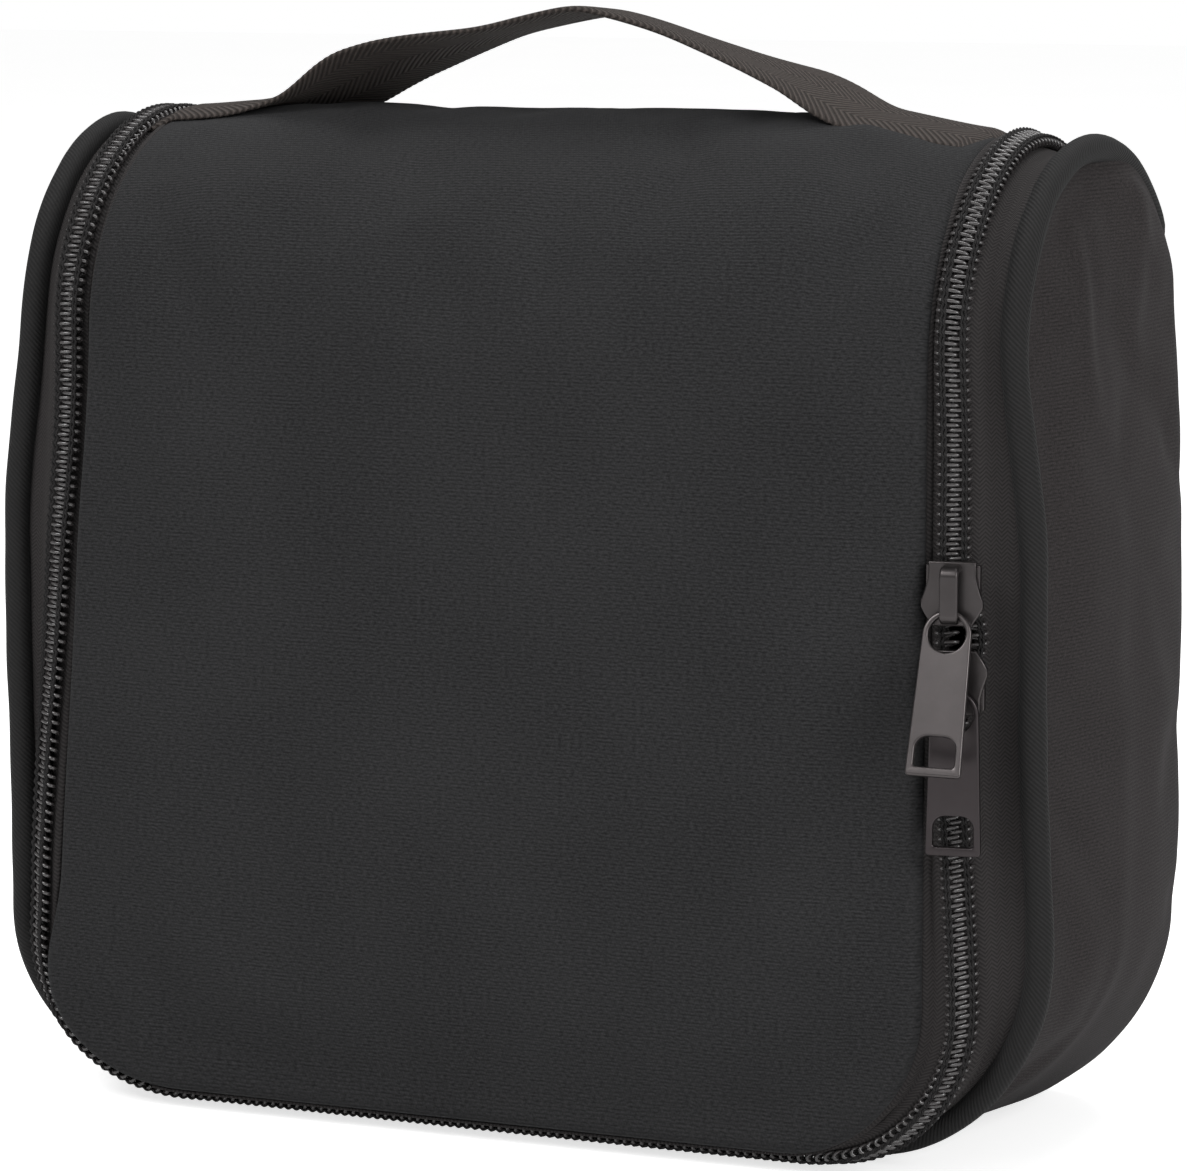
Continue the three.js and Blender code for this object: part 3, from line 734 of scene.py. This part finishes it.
def settle(obj, pinned, pressure, slack, cap):
    """Lets a sewn sheet puff and wrinkle as cloth held at its rim, for at most cap mm."""
    group = obj.vertex_groups.new(name="sewn")
    for index, weight in enumerate(pinned):
        if weight > 0:
            group.add([index], float(weight), "REPLACE")
    cloth = obj.modifiers.new("settle", "CLOTH")
    settings = cloth.settings
    settings.vertex_group_mass = group.name
    settings.quality = 6
    settings.mass = 0.25
    settings.tension_stiffness = settings.compression_stiffness = 18
    settings.shear_stiffness = 8
    settings.bending_stiffness = 0.4
    settings.use_pressure = True
    settings.uniform_pressure_force = pressure
    settings.shrink_min = -slack
    settings.effector_weights.gravity = 0
    cloth.collision_settings.use_collision = False
    for number in range(1, 21):
        bpy.context.scene.frame_set(number)
    evaluated = obj.evaluated_get(bpy.context.evaluated_depsgraph_get())
    rest = coordinates(obj.data)
    shift = coordinates(evaluated.data) - rest
    size = np.linalg.norm(shift, axis=1, keepdims=True)
    shift *= np.minimum(1, cap * MM / np.maximum(size, 1e-9))
    obj.modifiers.remove(cloth)
    obj.data.vertices.foreach_set("co", (rest + shift).ravel())
    obj.vertex_groups.remove(group)
    bpy.context.scene.frame_set(1)
    return obj


# ---------- the flap ----------

ARC = math.radians(180 - HINGE_ANGLE) * HALF_DEPTH
FLAP_LENGTH = ARC + ARCH_Z - FLAP_BOTTOM
CROWN = round(math.radians(90) * HALF_DEPTH, 1)  # from the foot of the arch to its top
RIM = 2.6  # roundness of a padded panel's edge


def arch_sheet(u, v, offset):
    """Wraps (u, v) over the arch and down the front; v is the height above the lower edge."""
    run = FLAP_LENGTH - v
    angle = math.radians(HINGE_ANGLE) + np.minimum(run, ARC) / HALF_DEPTH
    radius = HALF_DEPTH + offset
    y = radius * np.cos(angle)
    z = ARCH_Z + radius * np.sin(angle) - np.maximum(run - ARC, 0)
    return join(u, y, z)


def flap_grid(half, low, corner, step):
    """Grid over the flap; v is the height above its lower edge, along the sheet."""
    u, v = np.meshgrid(spread(-half, half, step), spread(low, FLAP_LENGTH - 0.3, step))
    return round_corners(u, v, half, low, corner)


def flap_relief(u, v):
    """Padding's crown, the pull of the handle's ends and slight unevenness, in mm."""
    height = v - (FLAP_LENGTH - ARC)
    across = 1 - (u / FLAP_HALF) ** 2
    front = np.clip(v / 150, 0, 1)
    relief = 0.9 * across * np.sin(math.pi * front) + 0.22 * lumps(u, v, 70, 3)
    relief += 0.5 * lumps(u, v, 46, 8) * smooth(height, -60, 10)
    for side, reach in ((-1, 0.9), (1, 1.2)):
        relief -= reach * crease(u, height, (side * 80, 34), (side * 52, -6), 5)
        relief += 0.8 * reach * crease(u, height, (side * 84, 20), (side * 74, -30), 5)
    return relief * smooth(np.abs(height - CROWN), 5, 30)


def flap_skin():
    half = FLAP_HALF + 0.2
    u, v, d = flap_grid(half, 0, FLAP_CORNER, 3)
    top = FLAP_LENGTH - 0.3 - v
    d = np.where(v > 100, np.minimum(half - np.abs(u), 3 * top + 0.8), d)
    drop = rolled(d, RIM)
    inner = smooth(d, 1.0, 14)
    points = on_flap(arch_sheet(u, v, flap_relief(u, v) * inner - drop))
    skin = sheet("flap_skin", points, u, v, FABRIC)
    settle(skin, 1 - smooth(d, 1.5, 9).ravel(), 1.2, 0.004, 2.0)
    return thicken(refine(skin), 1.0)


def flap_lining():
    half = FLAP_HALF - 1.2
    u, v, d = flap_grid(half, 1.5, FLAP_CORNER - 1.5, 5)
    relief = 0.35 * lumps(u, v, 50, 21) * smooth(d, 2, 15)
    points = on_flap(arch_sheet(u, v, relief - 4.1 + 1.2 * rolled(d, 1.6)))
    return thicken(refine(sheet("flap_lining", points, u, v, LINING)), 0.6)


# ---------- the body's panels ----------

def lined(obj):
    """Gives a sheet its thickness, with the lining on the inner face."""
    obj.data.materials.append(LINING)
    thicken(obj, 2.0)
    obj.modifiers["thickness"].material_offset = 1
    return obj


def back_skin():
    half, low = PIPING_X - 2.0, 4.4
    top = ARCH_Z + math.radians(HINGE_ANGLE) * HALF_DEPTH - 0.3
    u, v = np.meshgrid(spread(-half, half, 4), spread(low, top, 4))
    u, v, d = round_corners(u, v, half, low, GUSSET_CORNER - 4)
    d = np.where(v > 60, np.minimum(half - np.abs(u), 3 * (top - v) + 0.8), d)
    angle = np.maximum(v - ARCH_Z, 0) / HALF_DEPTH
    swell = (0.6 * (1 - (u / half) ** 2) + 0.35 * lumps(u, v, 60, 5)) * smooth(d, 1, 20)
    radius = HALF_DEPTH + swell * smooth(top - v, 2, 25) - rolled(d, RIM)
    points = join(u, radius * np.cos(angle), np.minimum(v, ARCH_Z) + radius * np.sin(angle))
    return lined(refine(sheet("back_skin", drawn_in(points), u, v, FABRIC, turned=True)))


def hinge_fold():
    """Fabric between the outer cloth and the lining, where the flap carries on from the back."""
    radius = HALF_DEPTH - 1.0
    across, v = np.meshgrid(np.linspace(-1, 1, 60), np.linspace(-11, 11, 45))
    u = across * (FLAP_HALF - 3 + HINGE_FLARE * (1 - smooth(v, 1, 6)))
    angle = math.radians(HINGE_ANGLE) + v / HALF_DEPTH
    points = drawn_in(join(u, radius * np.cos(angle), ARCH_Z + radius * np.sin(angle)))
    return thicken(sheet("hinge_fold", points, u, v, FABRIC, turned=True), 0.7)


def seam_groove(d):
    """Depth of the dip where a panel meets the piping, at distance d from its edge."""
    return 0.9 * np.exp(-((d - 2.9) / 1.1) ** 2)


def piping_edge(corner_angle):
    """y of the front piping's centre where the gusset wraps by this angle, 0 at the side."""
    turned = smooth(corner_angle / (math.pi / 2))
    front = BODY_RAIL["arch_y"] - BODY_RAIL["arch_r"]
    return (front + (BODY_RAIL["bottom_y"] - front) * turned
            + PIPING_OFFSET * np.sin(piping_lean(turned)))


def gusset(name, side):
    """Side panel: an arched top, a straight side and a wrap under the bottom corner."""
    centre_y, reach = BODY_RAIL["arch_y"], PIPING_ARCH_R
    cross = spread(-reach, reach, 3) / reach
    up = GUSSET_CORNER * (math.pi / 2 - 1)  # from height to length along the cloth
    rows = []  # x, y, z, angle of the wrap, length along the cloth
    for angle in np.radians(np.concatenate([[90], np.linspace(89, 0, 26)])):
        front = piping_edge(angle)
        rows.append((PIPING_X - GUSSET_CORNER * (1 - math.cos(angle)),
                     (front + PIPING_BACK_Y) / 2 + cross * (PIPING_BACK_Y - front) / 2,
                     GUSSET_CORNER * (1 - math.sin(angle)), angle,
                     GUSSET_CORNER * (math.pi / 2 - angle)))
    for z in np.linspace(GUSSET_CORNER, BODY_RAIL["arch_z"], 34)[1:]:
        rows.append((PIPING_X, centre_y + reach * cross, z, 0, up + z))
    for b in cross[cross > 0.02]:
        z = BODY_RAIL["arch_z"] + reach * b * np.sqrt(1 - cross * cross / 2)
        rows.append((PIPING_X, centre_y + reach * cross * np.sqrt(1 - b * b / 2), z, 0, up + z))
    x, y, z, angle, length = np.moveaxis(
        np.stack([np.stack(np.broadcast_arrays(*row)) for row in rows]), 1, 0)
    d = np.where(
        z > BODY_RAIL["arch_z"],
        reach - np.hypot(y - centre_y, z - BODY_RAIL["arch_z"]),
        np.minimum(y - y[:, :1], y[:, -1:] - y),
    )
    relief = gusset_relief(y, z, angle, side, d) - seam_groove(d)
    points = drawn_in(
        join(side * (x + relief * np.cos(angle)), y, z - relief * np.sin(angle)))
    pinned = 1 - smooth(d, 2.6, 8)
    pinned[0] = 1
    panel = sheet(name, points, y, length, SIDE_FABRIC, turned=side < 0)
    settle(panel, pinned[:, ::side].ravel(), 1.0, 0.006, 1.6)
    return lined(refine(panel))


def gusset_relief(y, z, angle, side, d):
    """Bulge, the long soft ridge down the middle, and folds under the arch, in mm. It rises
    gently from the front seam and steeply from the back one; d is the distance from them."""
    height = smooth(z, 0, 70) * (1 - 0.35 * smooth(z, 120, 185))
    backward = smooth(y, -8, 18)
    steep = np.sqrt(1 - (1 - np.clip(d / 10, 0, 1)) ** 2)
    rise = smooth(d, 2, 26) * (1 - backward) + steep * backward
    swell = (2.2 + 1.6 * height) * (1 - backward) + (3.4 + 2.8 * height) * backward
    ridge_y = -4 - 19 * smooth(angle, 0, 1.15) + 1.5 * np.sin(z / 23)
    off = (y - ridge_y) / 4.5
    folds = 1.3 * np.exp(-np.sqrt(off * off + 0.08)) * smooth(170 - z, 5, 60)
    for place, lean, size in ((-11, 0.06, 1.0), (-2.5, 0.02, 0.8), (14, -0.04, 0.5)):
        fold = (y - place - lean * (188 - z)) / 2.4
        folds = folds + size * np.exp(-fold * fold) * smooth(z, 125, 160)
    under = 1 - smooth(angle, 0.8, 1.5)
    lumpy = 0.3 * lumps(y, z, 38, 11 if side > 0 else 12)
    return swell * rise * under + (folds + lumpy) * smooth(d, 2, 14) * (0.3 + 0.7 * under)


def bottom_skin():
    half = PIPING_X - GUSSET_CORNER + 1.2
    front, back = float(piping_edge(math.pi / 2)), PIPING_BACK_Y
    x, y = np.meshgrid(np.linspace(-half, half, 40), spread(front, back, 4))
    d = np.minimum(y - front, back - y)
    z = 0.25 * (1 + lumps(x, y, 50, 14)) * smooth(d, 3, 12) + seam_groove(d)
    z += 0.3 * smooth(np.abs(x), half - 8, half)
    points = drawn_in(join(x, y, z))
    return lined(refine(sheet("bottom_skin", points, x, y, SIDE_FABRIC, turned=True)))


# ---------- the handle ----------

STRAP_WIDTH = 25
STRAP_THICK = 1.6
STRAP_REST = HEIGHT + 0.3 + STRAP_THICK / 2
STRAP_RISE = 0.96 * (box_mm("carry_handle")[1][2] - STRAP_THICK / 2 - STRAP_REST)
STRAP_FEET = (-60, 62)  # where the webbing leaves the top
STRAP_CREST = 4
STRAP_END = 88.5
TWIST = (  # (x, degrees to the front)
    (-70, 0), (-48, 22), (-34, 15), (-16, 2), (22, 5), (36, 1), (54, -9), (68, -3),
)


def strap_lift(x):
    """Height of the webbing's middle over its sewn ends: a peak a little right of centre."""
    left = np.clip((x - STRAP_FEET[0]) / (STRAP_CREST - STRAP_FEET[0]), 0, 1)
    right = np.clip((STRAP_FEET[1] - x) / (STRAP_FEET[1] - STRAP_CREST), 0, 1)
    return STRAP_RISE * np.where(x < STRAP_CREST, 1 - (1 - left) ** 1.35, 1 - (1 - right) ** 1.15)


def strap_path():
    """Middle line of the webbing with its roll, and how much it follows the top's curve."""
    x = np.linspace(-STRAP_END, STRAP_END, 700)
    lift = soften(strap_lift(x)[:, None], 41)[:, 0]
    loose = smooth(lift, 1, 8)
    dip = 0.7 * (1 - loose) + 2.2 * smooth(np.abs(x), 82, STRAP_END) + top_droop(x, HEIGHT + 0 * x)
    z = STRAP_REST + lift - dip + 0.3 * np.sin(x / 8.5) * loose
    knots = np.array(TWIST)
    roll = soften(np.interp(x, knots[:, 0], knots[:, 1])[:, None], 61)[:, 0]
    line = join(x, 0.5 * np.sin(x / 21) * loose, z)
    length = run_of(line)
    even = np.arange(0, length[-1], 0.36)
    hug = 1 - smooth(lift, 0.3, 6)
    return even, *(read(even, length, values) for values in (line, np.radians(roll), hug))


def strap_half(name, side):
    """Half of the handle, from its middle to one sewn end."""
    length, line, roll, hug = strap_path()
    along = unit(np.gradient(line, axis=0))
    upward = unit(np.cross(along, np.array([0.0, 1.0, 0.0])))
    upward *= np.sign(upward[:, 2:3])
    sideways = np.array([0.0, 1.0, 0.0])
    across = np.cos(roll)[:, None] * sideways - np.sin(roll)[:, None] * upward
    normal = np.cos(roll)[:, None] * upward + np.sin(roll)[:, None] * sideways
    middle = np.searchsorted(line[:, 0], 0.0)
    keep = slice(middle, None) if side > 0 else slice(0, middle + 1)
    turn = np.linspace(0, 2 * math.pi, 33)[:-1]
    flat, edge = squarer(np.cos(turn), 0.55), squarer(np.sin(turn), 0.55)
    scallop = 0.22 * np.abs(np.sin(math.pi * length / 1.45)) - 0.1
    a = flat[None] * (STRAP_WIDTH / 2 + scallop[:, None] * np.abs(flat[None]) ** 8)
    b = np.broadcast_to(edge[None] * STRAP_THICK / 2, a.shape)
    droop = -hug[:, None] * a * a / (2 * HALF_DEPTH)
    points = (line[:, None] + a[..., None] * across[:, None]
              + (b + droop)[..., None] * normal[:, None])
    uv = join(np.concatenate([a, a[:, :1]], axis=1) + 40, length[:, None])
    return lattice(name, points[keep], uv[keep], WEBBING, closed=True)


# ---------- flat metal and plastic parts ----------

def arc(cx, cy, radius, start, end, count=10):
    """Points of an outline round a centre, from one angle in degrees to another."""
    angle = np.radians(np.linspace(start, end, count))
    return [(cx + radius * math.cos(t), cy + radius * math.sin(t)) for t in angle]


def block(left, right, low, high):
    """Outline of a rectangle."""
    return [(left, low), (right, low), (right, high), (left, high)]


def shoulders(half, high, radius, count=10):
    """Two rounded corners at the height high, from the right one to the left one."""
    return (arc(half - radius, high - radius, radius, 0, 90, count)
            + arc(radius - half, high - radius, radius, 90, 180, count))


def hoop(half, low, high, radius):
    """A line up the right side, round two corners and down the left side."""
    return [(half, low)] + shoulders(half, high, radius) + [(-half, low)]


def plate(outlines, thickness, bevel, place):
    """A flat plate with rounded edges from closed outlines (a, b) in mm; later ones are holes.
    place is the directions of a, b and the thickness, and then the origin."""
    curve = bpy.data.curves.new("plate", "CURVE")
    curve.dimensions = "2D"
    curve.fill_mode = "BOTH"
    curve.extrude = thickness / 2 - bevel
    curve.bevel_depth = bevel
    curve.bevel_resolution = 2
    curve.offset = -bevel
    for outline in outlines:
        spline = curve.splines.new("POLY")
        spline.points.add(len(outline) - 1)
        for point, (a, b) in zip(spline.points, outline):
            point.co = (a, b, 0, 1)
        spline.use_cyclic_u = True
    obj = link("plate", curve)
    bpy.context.view_layer.update()
    mesh = bpy.data.meshes.new_from_object(
        obj.evaluated_get(bpy.context.evaluated_depsgraph_get()))
    bpy.data.objects.remove(obj)
    points = coordinates(mesh)
    faces = [tuple(polygon.vertices) for polygon in mesh.polygons]
    bpy.data.meshes.remove(mesh)
    directions, origin = place
    return points @ directions + origin, faces


def solid_object(name, plates, material):
    """One object from several plates, with its sharp edges kept sharp."""
    faces, start = [], 0
    for part_points, part_faces in plates:
        faces += [tuple(start + k for k in face) for face in part_faces]
        start += len(part_points)
    points = np.concatenate([part_points for part_points, _ in plates])
    corners = [(points[k][0], points[k][2]) for face in faces for k in face]
    obj = mesh_object(name, points, faces, corners, material)
    made = bmesh.new()
    made.from_mesh(obj.data)
    bmesh.ops.remove_doubles(made, verts=made.verts, dist=0.01 * MM)
    bmesh.ops.recalc_face_normals(made, faces=made.faces)
    made.to_mesh(obj.data)
    made.free()
    obj.data.set_sharp_from_angle(angle=math.radians(38))
    flat = obj.modifiers.new("flat_faces", "WEIGHTED_NORMAL")
    flat.keep_sharp = True
    return obj


MIDDLE_X = FLAP_RAIL["x"] + CHAIN_SHARE * (BODY_RAIL["x"] - FLAP_RAIL["x"])
FRONT_Y = FLAP_RAIL["arch_y"] - FLAP_RAIL["arch_r"]
BODY_Y = BODY_RAIL["arch_y"] - BODY_RAIL["arch_r"]
MIDDLE_Y = FRONT_Y + CHAIN_SHARE * (BODY_Y - FRONT_Y)
ACROSS = unit(np.array([BODY_RAIL["x"] - FLAP_RAIL["x"], BODY_Y - FRONT_Y, 0]))
OUTWARD = np.array([ACROSS[1], -ACROSS[0], 0])
SLIDER_TURN = math.radians(-10)  # the slack zip lets the sliders face a little to the left
SLIDER_ACROSS = math.cos(SLIDER_TURN) * ACROSS + math.sin(SLIDER_TURN) * -OUTWARD
SLIDER_OUT = math.cos(SLIDER_TURN) * OUTWARD + math.sin(SLIDER_TURN) * ACROSS
UP = np.array([0.0, 0.0, 1.0])
PLATE_LOW, PLATE_THICK = 3.5, 1.4
BAIL_ROOM, BAIL_BAR = 2.6, 1.2


def slider(node, nose, slip):
    """Slider with its top plate, side flanges, divider, lower plate and the pull's bail.
    nose is 1 where the end with the divider points up, -1 where it points down."""
    low, high = box_mm(node)
    centre = np.array([MIDDLE_X + slip, MIDDLE_Y, (low[2] + high[2]) / 2])
    half = (high[2] - low[2]) / 2

    def at(out):
        return np.stack([SLIDER_ACROSS, nose * UP, SLIDER_OUT]), centre + out * SLIDER_OUT

    right = [(4.35, -half), (4.4, -half + 3.0), (5.1, -0.4), (5.75, 1.4), (5.7, 2.6),
             (5.0, 3.9), (3.6, half)]
    outline = right + [(-a, b) for a, b in reversed(right)]
    parts = [plate([outline], PLATE_THICK, 0.35, at(PLATE_LOW + PLATE_THICK / 2))]
    for side in (-1, 1):
        flange = block(-0.5 + side * 4.5, 0.5 + side * 4.5, -half + 0.8, 2.6)
        parts.append(plate([flange], PLATE_LOW - 1.6, 0.2, at((PLATE_LOW + 2.0) / 2)))
    divider = block(-0.75, 0.75, 1.2, half - 0.4)
    parts.append(plate([divider], PLATE_LOW + 1, 0.2, at(PLATE_LOW / 2)))
    under = [(-5.4, -half + 0.4), (0.6, -half + 0.4), (0.6, half - 0.6), (-4.6, half - 0.6)]
    parts.append(plate([under], 1.2, 0.2, at(-1.3)))
    top = PLATE_LOW + PLATE_THICK
    loop = (hoop(5.3, top - 0.5, top + BAIL_ROOM + BAIL_BAR, 1.9)[::-1]
            + hoop(4.0, top - 0.5, top + BAIL_ROOM, 1.0))
    parts.append(plate([loop], 3.4, 0.5, (np.stack([UP, SLIDER_OUT, SLIDER_ACROSS]), centre)))
    return solid_object(node + "_body", parts, GUNMETAL)


def pull(node, slip, metal, pivot_z, drop, tilt, lean):
    """Long flat pull: a ring that hangs in the bail, a plain face and a window at its end.
    drop is how far its top hangs below the pivot; tilt swings it away from the bag and lean
    turns it in its own plane, in degrees."""
    pivot = (np.array([MIDDLE_X + slip, MIDDLE_Y, pivot_z])
             + (PLATE_LOW + PLATE_THICK + BAIL_ROOM / 2) * SLIDER_OUT)
    swing = math.radians(tilt)
    down = math.cos(swing) * -UP + math.sin(swing) * SLIDER_OUT
    face = math.cos(swing) * SLIDER_OUT + math.sin(swing) * UP
    turn = math.radians(lean)
    along = math.cos(turn) * down - math.sin(turn) * SLIDER_ACROSS
    aside = np.cross(face, along)
    ring, eye, half = 4.5, 3.45, 5.1
    middle, end = drop + ring, drop + 30.6
    outline = arc(0, middle, ring, 180, 360, 20) + shoulders(half, end, 0.7, 5)
    foot, head, side = end - 1.7, end - 7.4, 3.75
    window = (arc(side - 2.3, head + 2.3, 2.3, 270, 360, 8) + shoulders(side, foot, 0.5, 4)
              + arc(2.3 - side, head + 2.3, 2.3, 180, 270, 8))
    eye_line = arc(0, middle - 0.1, eye, 0, 360, 33)[:-1]
    place = (np.stack([aside, along, face]), pivot)
    return solid_object(node + "_plate", [plate([outline, eye_line, window], 1.4, 0.36, place)],
                        metal)


# ---------- inside: pockets, hook and its strap ----------

def pocket(name, node, edge_node, wall_y, depth):
    """Net sewn to a wall at its sides and foot, standing off it towards its open top."""
    low, high = box_mm(node)
    top = box_mm(edge_node)[1][2]
    u, v = np.meshgrid(spread(low[0], high[0], 5), np.linspace(low[2], top - 2, 34))
    u, v, d = round_corners(u, v, high[0], low[2], 24)
    d = np.where(v > low[2] + 30, high[0] - np.abs(u), d)
    rise = smooth(v, low[2], top)
    puff = depth * smooth(d, 0, 22) * (0.5 + 0.5 * rise)
    puff += 0.5 * lumps(u, v, 40, 31) * smooth(d, 2, 15)
    points = join(u, wall_y - np.sign(wall_y) * puff, v)
    net = sheet(name, points, u, v, NET)
    band = tube(name + "_binding", points[-1], np.tile([0.0, 0.0, 1.0], (len(points[-1]), 1)),
                1.5, 10, BINDING)
    return net, band


def hook_strap():
    """Webbing folded through the hook's slot and sewn to the flap's lining."""
    low, high = box_mm("hook_strap")
    u, v = np.meshgrid(np.linspace(low[0], high[0], 20), np.linspace(low[2], high[2], 60))
    points = join(u, low[1] + 0.08 * np.sin(v / 0.7), v)
    return thicken(sheet("hook_strap_webbing", points, u, v, WEBBING), high[1] - low[1])


# ---------- put together ----------


def stand_for(obj, nodes):
    """Hides the CAD nodes that a piece replaces."""
    if nodes:
        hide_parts(*nodes)


def fold_with_flap(obj, slot, *nodes):
    """Fabric that runs from the front over the fold on to the top."""
    stand_for(obj, nodes)
    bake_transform(obj)


def fix(obj, body, slot, *nodes):
    """A piece that moves with one body."""
    stand_for(obj, nodes)
    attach(obj, body)


fold_with_flap(flap_skin(), "shell_fabric", "front_panel", "top_panel", "front_foam")
fold_with_flap(flap_lining(), "lining_fabric", "front_lining", "top_lining")
fold_with_flap(tape_half("flap_tape", -1), "zip_tape",
               "flap_zip_tape", "top_zip_tape_left", "top_zip_tape_right")
fold_with_flap(coil_half("flap_coil", -1), "zip_coil",
               "flap_zip_coil", "top_zip_coil_left", "top_zip_coil_right")
for strand in coil_stitching("flap_coil_thread", -1):
    fold_with_flap(strand, "zip_tape")

fold = hinge_fold()
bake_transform(fold)

fix(tape_half("body_tape", 1), "bag_body", "zip_tape", "body_zip_tape")
fix(coil_half("body_coil", 1), "bag_body", "zip_coil", "body_zip_coil")
for strand in coil_stitching("body_coil_thread", 1):
    fix(strand, "bag_body", "zip_tape")
fix(front_piping(), "bag_body", "binding_fabric", "front_piping")
fix(back_piping(), "bag_body", "binding_fabric", "back_piping")
fix(back_skin(), "bag_body", "shell_fabric", "back_panel", "back_lining")
for side, side_name in ((-1, "left"), (1, "right")):
    fix(gusset(f"gusset_{side_name}", side), "bag_body", "shell_fabric",
        f"side_panel_{side_name}", f"side_lining_{side_name}")
fix(bottom_skin(), "bag_body", "shell_fabric", "bottom_panel", "bottom_lining")
for name, body, edge, wall_y, depth in (
        ("wall", "bag_body", "wall_pocket_elastic", 42.6, 5.0),
        ("flap", "front_flap", "flap_pocket_edge", -39.6, 1.4)):
    net, band = pocket(f"{name}_net", f"{name}_pocket_mesh", edge, wall_y, depth)
    fix(net, body, "mesh_fabric", f"{name}_pocket_mesh")
    fix(band, body, "binding_fabric", edge)

for side, side_name in ((-1, "left"), (1, "right")):
    half = strap_half(f"handle_{side_name}", side)
    stand_for(half, [f"handle_end_{side_name}", "carry_handle"])
    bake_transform(half)

fix(hook_strap(), "hook_strap", "webbing", "hook_strap")
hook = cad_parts["hanging_hook"]
hook.data.materials.clear()
hook.data.materials.append(PLASTIC)
soft_edge = hook.modifiers.new("soft_edge", "BEVEL")
soft_edge.width = 0.6 * MM
soft_edge.segments = 3

fix(slider("slider_upper", -1, UPPER_SLIP), "upper_slider", "slider_metal", "slider_upper")
fix(slider("slider_lower", 1, LOWER_SLIP), "lower_slider", "slider_metal", "slider_lower")
# the upper pull takes the painted-highlight copy of the gunmetal, the lower pull the painted-shade
# copy
fix(pull("pull_upper", UPPER_SLIP, PAINTED_LIGHT_METAL, pivot_z=109, drop=0.9, tilt=20, lean=1.8),
    "upper_pull", "slider_metal", "pull_upper")
fix(pull("pull_lower", LOWER_SLIP, PAINTED_SHADE_METAL, pivot_z=92.8, drop=-0.9, tilt=0, lean=0),
    "lower_pull", "slider_metal", "pull_lower")


# ---------- stage ----------

def facing(direction):
    """Rotation of a light or camera that looks this way."""
    return direction.to_track_quat("-Z", "Y").to_euler()


def soft_light(name, place, power, size):
    data = bpy.data.lights.new(name, "AREA")
    data.energy = power
    data.size = size
    light = link(name, data)
    light.location = place
    light.rotation_euler = facing(Vector((0, 0, 0.1)) - Vector(place))


FLOOR_GLOW = 0.72  # lifts the floor to near white where the camera sees it


def pale_floor():
    n = Nodes("pale_floor")
    grain = n.noise(4, 2)
    pale = n.mix(grain, (0.88, 0.88, 0.88, 1), (0.93, 0.93, 0.93, 1))
    seen = n.tree.nodes.new("ShaderNodeLightPath").outputs["Is Camera Ray"]
    material = n.finish(Base_Color=pale, Roughness=0.9, Emission_Color=(1, 1, 1, 1),
                        Emission_Strength=n.scaled(seen, FLOOR_GLOW))
    corners = block(-6000, 6000, -6000, 6000)
    points = [(x, y, -0.4) for x, y in corners]
    mesh_object("floor", points, [(0, 1, 2, 3)], corners, material)


def add_world():
    """A white backdrop to the camera that lights the bag only softly."""
    world = bpy.data.worlds.new("studio")
    world.use_nodes = True
    tree = world.node_tree
    background = tree.nodes["Background"]
    background.inputs["Color"].default_value = (1, 1, 1, 1)
    seen = tree.nodes.new("ShaderNodeLightPath").outputs["Is Camera Ray"]
    strength = tree.nodes.new("ShaderNodeMapRange")
    tree.links.new(seen, strength.inputs["Value"])
    strength.inputs["To Min"].default_value = 0.28
    strength.inputs["To Max"].default_value = 1.0
    tree.links.new(strength.outputs["Result"], background.inputs["Strength"])
    bpy.context.scene.world = world


def add_camera():
    azimuth, elevation = math.radians(23.6), math.radians(7.9)
    target = Vector((0.0031, 0, 0.1019))
    back = Vector((math.sin(azimuth) * math.cos(elevation),
                   -math.cos(azimuth) * math.cos(elevation), math.sin(elevation)))
    data = bpy.data.cameras.new("camera")
    data.sensor_width = 36
    data.lens = 156.3
    camera = link("camera", data)
    camera.location = target + 1.01 * back
    camera.rotation_euler = facing(-back)
    bpy.context.scene.camera = camera


pale_floor()
soft_light("key", (-0.8, -1.5, 1.9), 23, 1.0)
soft_light("right", (1.9, -0.7, 1.0), 17, 1.0)
soft_light("top", (0.2, 0.6, 1.9), 13, 1.0)
soft_light("glint", (0.12, -1.67, 1.19), 1.4, 0.5)
add_world()
add_camera()
bpy.context.scene.view_settings.view_transform = "Standard"
